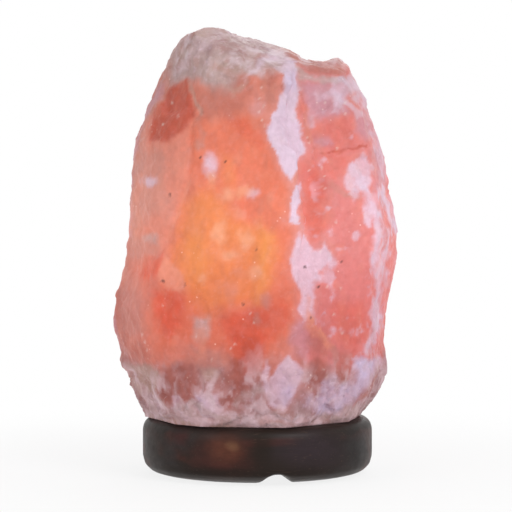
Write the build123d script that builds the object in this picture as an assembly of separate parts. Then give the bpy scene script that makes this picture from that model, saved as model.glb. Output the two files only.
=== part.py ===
"""Salt crystal lamp: a hewn rock of pink salt, screwed down on a turned wooden base. A lampholder with spring
clips and a small tubular bulb stand in the bore that runs up through both.

Millimetres. The origin is on the table, on the axis of the base, and +Z is up. The cord channel leaves the base
along -Y. The crystal is drawn from its own front, X to the right and Y away, and then turned on the base.
"""

from build123d import *
import math
import os

# ---------------------------------------------------------------- driving dimensions
# Turned wooden base
BASE_DIAMETER = 120.0
BASE_HEIGHT = 28.5
BASE_TOP_ROUND = 6.0
BASE_FOOT_ROUND = 8.5
BASE_BANDS = 3  # bands that make up each of these rounds
CHANNEL_RADIUS = 8.9  # round-nosed cutter of the cord channel
CHANNEL_DEPTH = 5.0

# Rubber feet, glued into shallow recesses
FOOT_COUNT = 4
FOOT_FIRST = 45.0  # degrees from +X
FOOT_CIRCLE = 40.0
FOOT_RADIUS = 4.5
FOOT_STAND = 1.0  # how far they hold the base off the table
FOOT_SINK = 1.2
FOOT_GAP = 0.2

# Bore for the lampholder and the bulb
BORE_RADIUS = 21.0
BORE_DEPTH = 98.0  # into the crystal, to the start of its tapered end
BORE_TAPER = 9.0
BASE_BORE_GAP = 0.5  # the wood is bored this much wider than the salt, on the radius

# Crystal
CRYSTAL_HEIGHT = 202.3
CRYSTAL_WIDTH = 150.2
CRYSTAL_DEPTH = 124.0
CRYSTAL_TURN = -10.2  # degrees about +Z

# Screws and wall plugs that hold the crystal down
SCREW_COUNT = 3
SCREW_FIRST = 90.0  # degrees from +X
SCREW_CIRCLE = 34.0
SCREW_RADIUS = 2.0
SCREW_BITE = 22.0  # length in the plug
SCREW_HEAD_RADIUS = 4.0
SCREW_HEAD_HEIGHT = 2.6
SCREW_GAP = 0.25  # round the screw in the wood
COUNTERBORE_DEPTH = 7.0
COUNTERBORE_GAP = 0.6
PLUG_RADIUS = 3.6
PLUG_LENGTH = 26.0
PLUG_END_GAP = 1.2
PLUG_GAP = 0.05

# Lampholder
HOLDER_RECESS = 6.0  # from the underside of the base up to the holder's cap
HOLDER_RADIUS = 13.5
CAP_HEIGHT = 16.0
CAP_WALL = 1.6
CAP_FLOOR = 2.4
CORD_INLET_RADIUS = 3.6
BODY_HEIGHT = 34.0
BODY_WALL = 2.0
SPIGOT_HEIGHT = 4.0
SPIGOT_GAP = 0.1
LEDGE_HEIGHT = 4.0
LEDGE_WIDTH = 2.2
BLOCK_HEIGHT = 8.0
BLOCK_GAP = 0.1
THREAD_RADIUS = 7.0  # clear radius in the threaded shell
SHELL_WALL = 0.4
SHELL_HEIGHT = 16.0
SHELL_FLANGE = 2.0
LEAF_THICKNESS = 0.4
LEAF_WIDTH = 4.0
LEAF_RISE = 2.2
LEAF_FLAT = 2.4
LEAF_SLOPE = 2.6
LEAF_TONGUE = 3.4
LEAF_BEND = 0.8
POST_RADIUS = 0.8
POST_GAP = 0.05
POST_INSET = 2.0  # from the thread's clear radius in to the live post
TERMINAL_OFFSET = 6.2
TERMINAL_WIDTH = 5.0
TERMINAL_DEPTH = 5.0
TERMINAL_HEIGHT = 7.0
TERMINAL_SINK = 1.5
WIRE_HOLE_RADIUS = 1.2
WIRE_HOLE_DEPTH = 5.0
CLAMP_RADIUS = 1.2
CLAMP_LENGTH = 2.3
CLAMP_HEAD_RADIUS = 2.0
CLAMP_HEAD_HEIGHT = 1.2
CLAMP_RISE = 2.4  # from the terminal's underside to the clamping screw

# Spring clips riveted to the lampholder
CLIP_SEAT_DEPTH = 0.7  # flat on the body that carries each clip
CLIP_WIDTH = 8.0
CLIP_THICKNESS = 0.5
CLIP_WALL_GAP = 0.3
CLIP_TOP_DROP = 2.0  # from the rim of the body
CLIP_TAB = 12.0
CLIP_FOLD = 2.6
CLIP_FOLD_ROUND = 1.1
CLIP_ELBOW_DROP = 14.5
CLIP_ELBOW_ROUND = 3.0
CLIP_FOOT_DROP = 10.0
CLIP_FOOT_OUT = 2.6
RIVET_RADIUS = 1.4
RIVET_HEAD_RADIUS = 2.4
RIVET_HEAD_HEIGHT = 0.8
RIVET_DROP = 7.0
RIVET_GAP = 0.05

# Bulb
BULB_LENGTH = 58.0
BULB_RADIUS = 11.0
BULB_WALL = 0.6
BULB_NECK_RADIUS = 6.1
BULB_NECK_SINK = 3.6
BULB_NECK_STAND = 0.5
BULB_SHOULDER = 4.5
CROWN_BANDS = 3  # bands that make up the round end
BULB_GAP = 0.3  # between the bulb and the holder
BULB_CAP_RADIUS = THREAD_RADIUS - BULB_GAP
BULB_CAP_WALL = 0.3
BULB_CAP_HEIGHT = 16.5
BULB_CAP_START = 2.8
BULB_CAP_LIP = 1.5
TIP_RADIUS = 2.3
TIP_HEIGHT = 1.0
STEM_RADIUS = 1.9
STEM_HEIGHT = 15.0
STEM_FOOT = 1.2
STEM_GAP = 0.1
LEAD_RADIUS = 0.3
LEAD_SPREAD = 6.0
LEAD_HEIGHT = 12.0
LEAD_FOOT = 2.0
FILAMENT_RADIUS = 0.35
FILAMENT_RISE = 2.5
FILAMENT_FLAT = 3.0  # length of its level middle
FILAMENT_GAP = 0.05

# ---------------------------------------------------------------- sizes that follow
BASE_RADIUS = BASE_DIAMETER / 2
BASE_TOP = FOOT_STAND + BASE_HEIGHT
HOLDER_BOTTOM = FOOT_STAND + HOLDER_RECESS
BODY_BOTTOM = HOLDER_BOTTOM + CAP_HEIGHT
BODY_TOP = BODY_BOTTOM + BODY_HEIGHT
CAP_INNER = HOLDER_RADIUS - CAP_WALL
BODY_INNER = HOLDER_RADIUS - BODY_WALL
LEDGE_TOP = BODY_BOTTOM + LEDGE_HEIGHT
BLOCK_TOP = LEDGE_TOP + BLOCK_HEIGHT
TERMINAL_TOP = LEDGE_TOP + TERMINAL_SINK
TERMINAL_BOTTOM = TERMINAL_TOP - TERMINAL_HEIGHT
LIVE_POST = THREAD_RADIUS - POST_INSET
NEUTRAL_POST = THREAD_RADIUS + POST_RADIUS
CLIP_SEAT = HOLDER_RADIUS - CLIP_SEAT_DEPTH
CLIP_TOP = BODY_TOP - CLIP_TOP_DROP
RIVET_HEIGHT = CLIP_TOP - RIVET_DROP
BULB_TIP = BLOCK_TOP + LEAF_THICKNESS + LEAF_RISE + BULB_GAP
BULB_TOP = BULB_TIP + BULB_LENGTH
BULB_CAP_BOTTOM = BULB_TIP + BULB_CAP_START
BULB_CAP_TOP = BULB_CAP_BOTTOM + BULB_CAP_HEIGHT
BULB_CAP_MOUTH = BULB_CAP_RADIUS - BULB_CAP_LIP
NECK_BOTTOM = BULB_CAP_TOP - BULB_NECK_SINK
STEM_TOP = NECK_BOTTOM + STEM_HEIGHT
LEAD_TOP = STEM_TOP + LEAD_HEIGHT

# ---------------------------------------------------------------- form of the crystal
# Its outline level by level: height as a share of CRYSTAL_HEIGHT, then how far it reaches to the left, right,
# front and back of the base's axis, as shares of half its width and half its depth, and how far the ridges are
# turned there, in degrees.
LEVELS = [
    (0.000, -0.790, 0.717, -0.930, 0.900, 0.0),
    (0.040, -0.870, 0.805, -0.980, 0.950, 1.0),
    (0.100, -0.932, 0.895, -0.990, 0.985, 0.0),
    (0.150, -0.957, 0.922, -1.000, 1.010, -1.0),
    (0.195, -0.981, 0.893, -1.000, 1.020, -0.5),
    (0.273, -1.010, 0.912, -0.995, 1.020, 1.0),
    (0.410, -0.925, 0.972, -0.975, 0.985, 2.0),
    (0.455, -0.900, 0.998, -0.965, 0.975, 1.5),
    (0.560, -0.896, 0.940, -0.935, 0.970, 0.0),
    (0.700, -0.858, 0.872, -0.870, 0.900, -2.0),
    (0.800, -0.768, 0.790, -0.800, 0.820, -1.0),
    (0.900, -0.640, 0.665, -0.720, 0.720, 1.0),
    (1.000, -0.520, 0.540, -0.620, 0.580, 0.0),
]
# Where the upright ridges stand on each level: degrees round from its front, towards the right, and how far out.
RIDGES = [
    (-84.0, 1.00), (-53.0, 1.00), (-27.0, 1.00), (16.0, 1.02), (54.0, 1.05), (92.0, 1.00), (134.0, 1.00),
    (176.0, 1.00), (-143.0, 1.00), (-112.0, 1.00),
]
# Flat faces where slices split off: the way the face looks (degrees round from the front, then up), the height of
# its middle as a share of CRYSTAL_HEIGHT, and its distance from the axis as a share of the mean half width.
CLEAVAGES = [
    (90.0, 74.0, 0.968, 0.00),  # crest, falling to the right
    (90.0, 49.0, 0.890, 0.71),  # right shoulder
    (-90.0, 58.0, 0.988, 0.475),  # left of the crest
    (-90.0, 33.0, 0.949, 0.63),
    (-6.0, 38.0, 0.950, 0.60),  # brow over the front block
    (30.0, 60.0, 0.905, 0.51),  # from the crest down to the top of the step
    (172.0, 38.0, 0.910, 0.63),  # top of the back
    (-52.0, 13.0, 0.590, 0.92),  # upper left, beside the crease
    (150.0, 11.0, 0.620, 0.84),
    (-135.0, 7.0, 0.560, 0.87),
    (-160.0, -8.0, 0.180, 0.87),
    (118.0, -10.0, 0.140, 0.86),
    (40.0, -24.0, 0.075, 0.87),
    (-65.0, -20.0, 0.070, 0.88),
]
# The right-hand part of the front stands back from the front-left block. Edge of the step from foot to top:
# height share, then how far right and forward, as shares of half the width and half the depth.
STEP_EDGE = [
    (0.180, 0.215, -1.020),
    (0.520, 0.285, -0.800),
    (0.790, 0.175, -0.640),
    (1.100, 0.330, -0.400),
]
STEP_FALL = 20.0  # degrees that the face behind the step turns away to the right


# ---------------------------------------------------------------- helpers
def around(count, radius, first):
    """Evenly spaced places on a circle about the axis."""
    angles = [math.radians(first + 360.0 * i / count) for i in range(count)]
    return [(radius * math.cos(a), radius * math.sin(a)) for a in angles]


def turned(corners):
    """A turned solid from the (radius, height) corners of its section."""
    return revolve(Plane.XZ * make_face(Polyline(*corners, close=True)), Axis.Z)


def bands(centre, radius, first, last, count):
    """Corners of a section along an arc, so that the turned round is made of this many narrow bands."""
    angles = [math.radians(first + (last - first) * i / count) for i in range(count + 1)]
    return [(centre[0] + radius * math.cos(a), centre[1] + radius * math.sin(a)) for a in angles]


def rod(radius, low, high, at=(0, 0)):
    """An upright cylinder between two heights."""
    upright = Cylinder(radius, high - low, align=(Align.CENTER, Align.CENTER, Align.MIN))
    return Pos(at[0], at[1], low) * upright


def strip(path, thickness, width):
    """Sheet metal strip bent along a path in the XZ plane, and centred on that plane."""
    return extrude(Plane.XZ * trace(path, line_width=thickness), width / 2, both=True)


def wire(path, radius):
    """Round wire along a path with mitred bends."""
    return sweep(Plane(path @ 0, z_dir=path % 0) * Circle(radius), path, transition=Transition.RIGHT)


def both_sides(shape):
    """The shape, and its copy turned half round the axis."""
    return [shape, Rot(0, 0, 180) * shape]


# ---------------------------------------------------------------- crystal
def crystal_level(height, left, right, front, back, twist):
    """The crystal's corners on one level."""
    half_width, half_depth = CRYSTAL_WIDTH / 2, CRYSTAL_DEPTH / 2
    centre = ((left + right) / 2 * half_width, (front + back) / 2 * half_depth)
    reach = ((right - left) / 2 * half_width, (back - front) / 2 * half_depth)
    corners = []
    for ridge, stand in RIDGES:
        turn = math.radians(ridge + twist)
        x = centre[0] + stand * reach[0] * math.sin(turn)
        y = centre[1] - stand * reach[1] * math.cos(turn)
        corners.append((x, y, height * CRYSTAL_HEIGHT))
    return corners


def flat_face(*corners):
    return make_face(Polyline(*corners, close=True))


def hewn_form():
    """The crystal as a closed form of flat three-cornered facets between its levels."""
    levels = [crystal_level(*level) for level in LEVELS]
    facets = [flat_face(*levels[0]), flat_face(*levels[-1])]
    for low, high in zip(levels, levels[1:]):
        for corner in range(len(RIDGES)):
            after = (corner + 1) % len(RIDGES)
            facets.append(flat_face(low[corner], low[after], high[after]))
            facets.append(flat_face(low[corner], high[after], high[corner]))
    return Solid(Shell(facets))


def cleavage_plane(facing, tilt, height, reach):
    round_turn, up_turn = math.radians(facing), math.radians(tilt)
    mean_half = (CRYSTAL_WIDTH + CRYSTAL_DEPTH) / 4
    level = (math.sin(round_turn), -math.cos(round_turn))
    middle = (reach * mean_half * level[0], reach * mean_half * level[1], height * CRYSTAL_HEIGHT)
    out = (level[0] * math.cos(up_turn), level[1] * math.cos(up_turn), math.sin(up_turn))
    return Plane(origin=middle, z_dir=out)


def front_step():
    """What is missing to the right of the front-left block."""
    outside = 2 * CRYSTAL_WIDTH
    fall = outside * math.tan(math.radians(STEP_FALL))
    sections = []
    for height, right, forward in STEP_EDGE:
        x, y = right * CRYSTAL_WIDTH / 2, forward * CRYSTAL_DEPTH / 2
        corners = [(x, y), (x + fall, y - outside), (x + outside, y - outside), (x + outside, y + fall)]
        sections.append(Pos(0, 0, height * CRYSTAL_HEIGHT) * flat_face(*corners))
    return loft(sections, ruled=True)


def salt_crystal():
    rock = hewn_form() - front_step()
    for cleavage in CLEAVAGES:
        rock = split(rock, bisect_by=cleavage_plane(*cleavage), keep=Keep.BOTTOM)
    rock = Pos(0, 0, BASE_TOP) * Rot(0, 0, CRYSTAL_TURN) * rock
    taper = BASE_TOP + BORE_DEPTH
    bore_end = taper + BORE_TAPER
    corners = [
        (0, BASE_TOP), (BORE_RADIUS, BASE_TOP), (BORE_RADIUS, taper), (BORE_RADIUS - BORE_TAPER, bore_end),
        (0, bore_end),
    ]
    rock -= turned(corners)
    for place in around(SCREW_COUNT, SCREW_CIRCLE, SCREW_FIRST):
        rock -= rod(PLUG_RADIUS + PLUG_GAP, BASE_TOP, BASE_TOP + PLUG_LENGTH + PLUG_END_GAP, place)
    return rock


# ---------------------------------------------------------------- base, feet and fixings
def wood_base():
    bore = BORE_RADIUS + BASE_BORE_GAP
    foot = (BASE_RADIUS - BASE_FOOT_ROUND, FOOT_STAND + BASE_FOOT_ROUND)
    top = (BASE_RADIUS - BASE_TOP_ROUND, BASE_TOP - BASE_TOP_ROUND)
    corners = [(bore, FOOT_STAND), *bands(foot, BASE_FOOT_ROUND, -90, 0, BASE_BANDS)]
    corners += [*bands(top, BASE_TOP_ROUND, 0, 90, BASE_BANDS), (bore, BASE_TOP)]
    base = turned(corners)
    base -= cord_channel()
    for place in around(SCREW_COUNT, SCREW_CIRCLE, SCREW_FIRST):
        base -= rod(SCREW_RADIUS + SCREW_GAP, FOOT_STAND, BASE_TOP, place)
        base -= rod(SCREW_HEAD_RADIUS + COUNTERBORE_GAP, FOOT_STAND, FOOT_STAND + COUNTERBORE_DEPTH, place)
    for place in around(FOOT_COUNT, FOOT_CIRCLE, FOOT_FIRST):
        base -= rod(FOOT_RADIUS + FOOT_GAP, FOOT_STAND, FOOT_STAND + FOOT_SINK, place)
    return base


def cord_channel():
    """Round-topped groove across the underside, from the bore out to the front."""
    cutter = Rot(90, 0, 0) * Cylinder(CHANNEL_RADIUS, BASE_RADIUS, align=(Align.CENTER, Align.CENTER, Align.MIN))
    return Pos(0, 0, FOOT_STAND + CHANNEL_DEPTH - CHANNEL_RADIUS) * cutter


def rubber_foot(place):
    return rod(FOOT_RADIUS, 0, FOOT_STAND + FOOT_SINK, place)


def crystal_screw():
    bearing = FOOT_STAND + COUNTERBORE_DEPTH
    head = rod(SCREW_HEAD_RADIUS, bearing - SCREW_HEAD_HEIGHT, bearing)
    return head + rod(SCREW_RADIUS, bearing, BASE_TOP + SCREW_BITE)


def crystal_plug():
    top = BASE_TOP + PLUG_LENGTH
    return rod(PLUG_RADIUS, BASE_TOP, top) - rod(SCREW_RADIUS + PLUG_GAP, BASE_TOP, top)


def at_screws(shape):
    return [Pos(x, y) * shape for x, y in around(SCREW_COUNT, SCREW_CIRCLE, SCREW_FIRST)]


# ---------------------------------------------------------------- lampholder
def holder_cap():
    floor = HOLDER_BOTTOM + CAP_FLOOR
    corners = [
        (CORD_INLET_RADIUS, HOLDER_BOTTOM), (HOLDER_RADIUS, HOLDER_BOTTOM), (HOLDER_RADIUS, BODY_BOTTOM),
        (CAP_INNER, BODY_BOTTOM), (CAP_INNER, floor), (CORD_INLET_RADIUS, floor),
    ]
    return turned(corners)


def holder_body():
    spigot = CAP_INNER - SPIGOT_GAP
    ledge = BODY_INNER - LEDGE_WIDTH
    spigot_end = BODY_BOTTOM - SPIGOT_HEIGHT
    corners = [
        (ledge, spigot_end), (spigot, spigot_end), (spigot, BODY_BOTTOM), (HOLDER_RADIUS, BODY_BOTTOM),
        (HOLDER_RADIUS, BODY_TOP), (BODY_INNER, BODY_TOP), (BODY_INNER, LEDGE_TOP), (ledge, LEDGE_TOP),
    ]
    body = turned(corners)
    seat_low = CLIP_TOP - CLIP_TAB - CLIP_THICKNESS
    flat = Box(HOLDER_RADIUS, 2 * HOLDER_RADIUS, BODY_TOP - seat_low, align=(Align.MIN, Align.CENTER, Align.MIN))
    body -= both_sides(Pos(CLIP_SEAT, 0, seat_low) * flat)
    return body - rivet_holes()


def rivet_holes():
    bore = Cylinder(RIVET_RADIUS + RIVET_GAP, 4 * HOLDER_RADIUS)
    return Pos(0, 0, RIVET_HEIGHT) * Rot(0, 90, 0) * bore


def contact_block():
    block = rod(BODY_INNER - BLOCK_GAP, LEDGE_TOP, BLOCK_TOP)
    pocket = Box(
        TERMINAL_WIDTH + 2 * POST_GAP, TERMINAL_DEPTH + 2 * POST_GAP, TERMINAL_SINK,
        align=(Align.CENTER, Align.CENTER, Align.MIN),
    )
    block -= both_sides(Pos(TERMINAL_OFFSET, 0, LEDGE_TOP) * pocket)
    for post in (LIVE_POST, -NEUTRAL_POST):
        block -= rod(POST_RADIUS + POST_GAP, LEDGE_TOP, BLOCK_TOP, (post, 0))
    return block


def thread_shell():
    outer = THREAD_RADIUS + SHELL_WALL
    flange = THREAD_RADIUS + SHELL_FLANGE
    corners = [
        (THREAD_RADIUS, BLOCK_TOP), (flange, BLOCK_TOP), (flange, BLOCK_TOP + SHELL_WALL),
        (outer, BLOCK_TOP + SHELL_WALL), (outer, BLOCK_TOP + SHELL_HEIGHT), (THREAD_RADIUS, BLOCK_TOP + SHELL_HEIGHT),
    ]
    return turned(corners)


def centre_contact():
    """Spring leaf under the bulb's tip, and the post that joins it to the live terminal."""
    lower = BLOCK_TOP + LEAF_THICKNESS / 2
    flat_end = LIVE_POST + POST_RADIUS - LEAF_FLAT
    slope_end = flat_end - LEAF_SLOPE
    path = FilletPolyline(
        (LIVE_POST + POST_RADIUS, lower), (flat_end, lower), (slope_end, lower + LEAF_RISE),
        (slope_end - LEAF_TONGUE, lower + LEAF_RISE), radius=LEAF_BEND,
    )
    return strip(path, LEAF_THICKNESS, LEAF_WIDTH) + rod(POST_RADIUS, TERMINAL_TOP, lower, (LIVE_POST, 0))


def terminal():
    """Brass block with a wire hole from below and a threaded hole from the front, on the +X side."""
    block = Box(TERMINAL_WIDTH, TERMINAL_DEPTH, TERMINAL_HEIGHT, align=(Align.CENTER, Align.CENTER, Align.MIN))
    block = Pos(TERMINAL_OFFSET, 0, TERMINAL_BOTTOM) * block
    block -= rod(WIRE_HOLE_RADIUS, TERMINAL_BOTTOM, TERMINAL_BOTTOM + WIRE_HOLE_DEPTH, (TERMINAL_OFFSET, 0))
    clamp_hole = Cylinder(CLAMP_RADIUS + POST_GAP, TERMINAL_DEPTH, align=(Align.CENTER, Align.CENTER, Align.MIN))
    return block - Pos(TERMINAL_OFFSET, 0, TERMINAL_BOTTOM + CLAMP_RISE) * Rot(90, 0, 0) * clamp_hole


def neutral_terminal():
    """The terminal on the -X side, and the post that joins it to the threaded shell."""
    block = mirror(terminal(), Plane.YZ)
    return block + rod(POST_RADIUS, TERMINAL_TOP, BLOCK_TOP, (-NEUTRAL_POST, 0))


def clamp_screw():
    """Cheese-headed screw that enters the +X terminal from the front."""
    corners = [
        (0, 0), (CLAMP_RADIUS, 0), (CLAMP_RADIUS, CLAMP_LENGTH), (CLAMP_HEAD_RADIUS, CLAMP_LENGTH),
        (CLAMP_HEAD_RADIUS, CLAMP_LENGTH + CLAMP_HEAD_HEIGHT), (0, CLAMP_LENGTH + CLAMP_HEAD_HEIGHT),
    ]
    start = CLAMP_LENGTH - TERMINAL_DEPTH / 2
    return Pos(TERMINAL_OFFSET, start, TERMINAL_BOTTOM + CLAMP_RISE) * Rot(90, 0, 0) * turned(corners)


def terminal_screws():
    screw = clamp_screw()
    return [screw, mirror(screw, Plane.YZ)]


def spring_clip():
    """Leaf on the +X side: up along the body, folded over its top, out to the bore wall and in again."""
    tab = CLIP_SEAT + CLIP_THICKNESS / 2
    elbow = math.sqrt((BORE_RADIUS - CLIP_WALL_GAP) ** 2 - (CLIP_WIDTH / 2) ** 2) - CLIP_THICKNESS / 2
    path = FilletPolyline(
        (tab, CLIP_TOP - CLIP_TAB), (tab, CLIP_TOP), (tab + CLIP_FOLD, CLIP_TOP),
        (elbow, CLIP_TOP - CLIP_ELBOW_DROP),
        (tab + CLIP_FOOT_OUT, CLIP_TOP - CLIP_ELBOW_DROP - CLIP_FOOT_DROP),
        radius=[CLIP_FOLD_ROUND, CLIP_FOLD_ROUND, CLIP_ELBOW_ROUND],
    )
    rivet_hole = Pos(CLIP_SEAT, 0, RIVET_HEIGHT) * Rot(0, 90, 0) * Cylinder(RIVET_RADIUS + RIVET_GAP, 2 * CLIP_FOLD)
    return strip(path, CLIP_THICKNESS, CLIP_WIDTH) - rivet_hole


def clip_rivet():
    """Two-headed rivet through the body's wall and the clip's tab."""
    inner_face = math.sqrt(BODY_INNER**2 - RIVET_HEAD_RADIUS**2) - RIVET_GAP
    outer_face = CLIP_SEAT + CLIP_THICKNESS
    corners = [
        (0, inner_face - RIVET_HEAD_HEIGHT), (RIVET_HEAD_RADIUS, inner_face - RIVET_HEAD_HEIGHT),
        (RIVET_HEAD_RADIUS, inner_face), (RIVET_RADIUS, inner_face), (RIVET_RADIUS, outer_face),
        (RIVET_HEAD_RADIUS, outer_face), (RIVET_HEAD_RADIUS, outer_face + RIVET_HEAD_HEIGHT),
        (0, outer_face + RIVET_HEAD_HEIGHT),
    ]
    return Pos(0, 0, RIVET_HEIGHT) * Rot(0, 90, 0) * turned(corners)


# ---------------------------------------------------------------- bulb
def bulb_outline(inset, crown_bands):
    """Corners from the bulb's neck to its crown, this far inside the outer surface of the glass."""
    neck, tube = BULB_NECK_RADIUS - inset, BULB_RADIUS - inset
    shoulder = BULB_CAP_TOP + BULB_NECK_STAND
    crown = (0, BULB_TOP - BULB_RADIUS)
    corners = [(neck, NECK_BOTTOM), (neck, shoulder), (tube, shoulder + BULB_SHOULDER)]
    corners += bands(crown, tube, 0, 90, crown_bands)[:-1]
    return [*corners, (0, BULB_TOP - inset)]


def bulb_glass():
    inside = bulb_outline(BULB_WALL, CROWN_BANDS - 1)
    return turned([*bulb_outline(0, CROWN_BANDS), *reversed(inside)])


def bulb_cap():
    inner = BULB_CAP_RADIUS - BULB_CAP_WALL
    corners = [
        (BULB_CAP_MOUTH, BULB_CAP_BOTTOM), (BULB_CAP_RADIUS, BULB_CAP_BOTTOM), (BULB_CAP_RADIUS, BULB_CAP_TOP),
        (inner, BULB_CAP_TOP), (inner, BULB_CAP_BOTTOM + BULB_CAP_WALL),
        (BULB_CAP_MOUTH, BULB_CAP_BOTTOM + BULB_CAP_WALL),
    ]
    return turned(corners)


def bulb_insulator():
    low = BULB_TIP + TIP_HEIGHT + BULB_GAP
    corners = [(0, low), (TIP_RADIUS, low), (BULB_CAP_RADIUS - BULB_CAP_WALL, BULB_CAP_BOTTOM), (0, BULB_CAP_BOTTOM)]
    return turned(corners)


def bulb_contact():
    return rod(TIP_RADIUS, BULB_TIP, BULB_TIP + TIP_HEIGHT)


def bulb_stem():
    foot = rod(BULB_NECK_RADIUS - BULB_WALL - STEM_GAP, NECK_BOTTOM, NECK_BOTTOM + STEM_FOOT)
    return foot + rod(STEM_RADIUS, NECK_BOTTOM + STEM_FOOT, STEM_TOP)


def bulb_lead():
    foot = STEM_RADIUS / 2
    path = Polyline((foot, 0, STEM_TOP), (foot, 0, STEM_TOP + LEAD_FOOT), (LEAD_SPREAD, 0, LEAD_TOP))
    return wire(path, LEAD_RADIUS)


def filament():
    end = LEAD_SPREAD - 2 * LEAD_RADIUS - FILAMENT_GAP
    low = LEAD_TOP - LEAD_RADIUS
    high = low + FILAMENT_RISE
    path = Polyline((-end, 0, low), (-FILAMENT_FLAT / 2, 0, high), (FILAMENT_FLAT / 2, 0, high), (end, 0, low))
    return wire(path, FILAMENT_RADIUS)


# ---------------------------------------------------------------- all pieces
def pieces():
    """Every piece by name; identical fixings share a name."""
    clip, lead = spring_clip(), bulb_lead()
    named = {
        "salt_crystal": salt_crystal(),
        "wood_base": wood_base(),
        "crystal_screws": at_screws(crystal_screw()),
        "crystal_plugs": at_screws(crystal_plug()),
        "holder_cap": holder_cap(),
        "holder_body": holder_body(),
        "contact_block": contact_block(),
        "thread_shell": thread_shell(),
        "centre_contact": centre_contact(),
        "live_terminal": terminal(),
        "neutral_terminal": neutral_terminal(),
        "terminal_screws": terminal_screws(),
        "clip_right": clip,
        "clip_left": Rot(0, 0, 180) * clip,
        "clip_rivets": both_sides(clip_rivet()),
        "bulb_glass": bulb_glass(),
        "bulb_cap": bulb_cap(),
        "bulb_insulator": bulb_insulator(),
        "bulb_contact": bulb_contact(),
        "bulb_stem": bulb_stem(),
        "bulb_leads": both_sides(lead),
        "filament": filament(),
    }
    for number, place in enumerate(around(FOOT_COUNT, FOOT_CIRCLE, FOOT_FIRST), start=1):
        named[f"rubber_foot_{number}"] = rubber_foot(place)
    return named


def main():
    os.makedirs("parts", exist_ok=True)
    for name, shape in pieces().items():
        piece = Compound(children=shape) if isinstance(shape, list) else shape
        export_step(piece, f"parts/{name}.step")


main()
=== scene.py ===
"""Looks of the salt crystal lamp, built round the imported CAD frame. Metres, with +Z up and the cord channel on -Y.

The crystal is carved and coloured vertex by vertex. Marks on its front are listed where the photograph shows them,
in pixels of its 512 x 512 picture, and land where those lines of sight meet the rock. The rest of the rock carries
the same kinds of salt by procedural noise.
"""

import math

import bmesh
import bpy
import numpy as np
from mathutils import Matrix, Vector
from mathutils.kdtree import KDTree


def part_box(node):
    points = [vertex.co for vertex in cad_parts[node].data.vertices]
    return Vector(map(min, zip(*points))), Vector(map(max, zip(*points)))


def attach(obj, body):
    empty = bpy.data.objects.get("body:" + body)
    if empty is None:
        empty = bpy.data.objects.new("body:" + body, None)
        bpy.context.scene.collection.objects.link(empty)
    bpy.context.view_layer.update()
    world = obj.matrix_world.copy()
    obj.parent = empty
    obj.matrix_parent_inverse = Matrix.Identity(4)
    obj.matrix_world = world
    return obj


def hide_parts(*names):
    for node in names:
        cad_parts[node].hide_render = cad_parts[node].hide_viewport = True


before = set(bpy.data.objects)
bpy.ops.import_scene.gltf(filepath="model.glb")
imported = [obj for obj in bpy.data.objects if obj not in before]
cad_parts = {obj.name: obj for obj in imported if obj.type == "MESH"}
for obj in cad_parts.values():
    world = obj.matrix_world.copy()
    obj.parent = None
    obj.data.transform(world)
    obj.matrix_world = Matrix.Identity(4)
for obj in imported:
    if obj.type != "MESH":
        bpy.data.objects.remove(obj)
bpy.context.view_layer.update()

MM = 0.001

# --- camera ---
PICTURE = 512
CAMERA_AZIMUTH = math.radians(-10.2)
CAMERA_DISTANCE = 1.4
CAMERA_HEIGHT = 0.185
CAMERA_PITCH = math.radians(-2.93)
CAMERA_YAW = math.radians(0.03)
CAMERA_LENS = 188.7
SENSOR = 36.0


def make_camera():
    data = bpy.data.cameras.new("camera")
    data.lens, data.sensor_width = CAMERA_LENS, SENSOR
    camera = put("camera", data)
    back = Vector((math.sin(CAMERA_AZIMUTH), -math.cos(CAMERA_AZIMUTH), 0))
    camera.location = back * CAMERA_DISTANCE + Vector((0, 0, CAMERA_HEIGHT))
    camera.rotation_euler = (math.pi / 2 + CAMERA_PITCH, 0, CAMERA_AZIMUTH + CAMERA_YAW)
    bpy.context.scene.camera = camera
    bpy.context.view_layer.update()
    return camera


def seen_at(points, camera):
    """Where each point falls in the photograph, in pixels."""
    local = (points - np.array(camera.location)) @ np.array(camera.matrix_world.to_3x3())
    focal = CAMERA_LENS / SENSOR * PICTURE
    right = PICTURE / 2 + focal * local[:, 0] / -local[:, 2]
    down = PICTURE / 2 - focal * local[:, 1] / -local[:, 2]
    return np.stack([right, down], 1)


# --- numbers on many points at once ---
def ramp(value, low, high):
    """0 below low, 1 above high, smooth between."""
    share = np.clip((value - low) / (high - low), 0, 1)
    return share * share * (3 - 2 * share)


def bell(value):
    """1 at 0, and less on both sides."""
    return np.exp(-(value**2))


def lattice(cells, seed):
    """A fixed value from -1 to 1 for each whole-numbered cell."""
    x, y, z = (cells[:, i].astype(np.uint64) for i in range(3))
    mixed = x * np.uint64(374761393) + y * np.uint64(668265263) + z * np.uint64(2246822519) + np.uint64(seed * 97)
    mixed = (mixed ^ (mixed >> np.uint64(15))) * np.uint64(2654435761)
    mixed = (mixed ^ (mixed >> np.uint64(13))) * np.uint64(1274126177)
    return ((mixed >> np.uint64(11)) & np.uint64(0xFFFF)).astype(float) / 0x7FFF - 1


def noise(points, size, seed):
    """Smooth noise from -1 to 1 in cells of this size in millimetres."""
    place = points / (size * MM) + 512
    corner = np.floor(place)
    part = place - corner
    part = part * part * (3 - 2 * part)
    total = np.zeros(len(points))
    for step in np.ndindex(2, 2, 2):
        weight = np.prod(np.where(np.array(step) == 1, part, 1 - part), axis=1)
        total += weight * lattice(corner + step, seed)
    return total


def cloudy(points, size, seed, layers=3):
    """Noise with finer and weaker layers added. size is in millimetres."""
    total = sum(noise(points, size / 2**k, seed + k) / 2**k for k in range(layers))
    return total / (2 - 2.0 ** (1 - layers))


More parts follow.
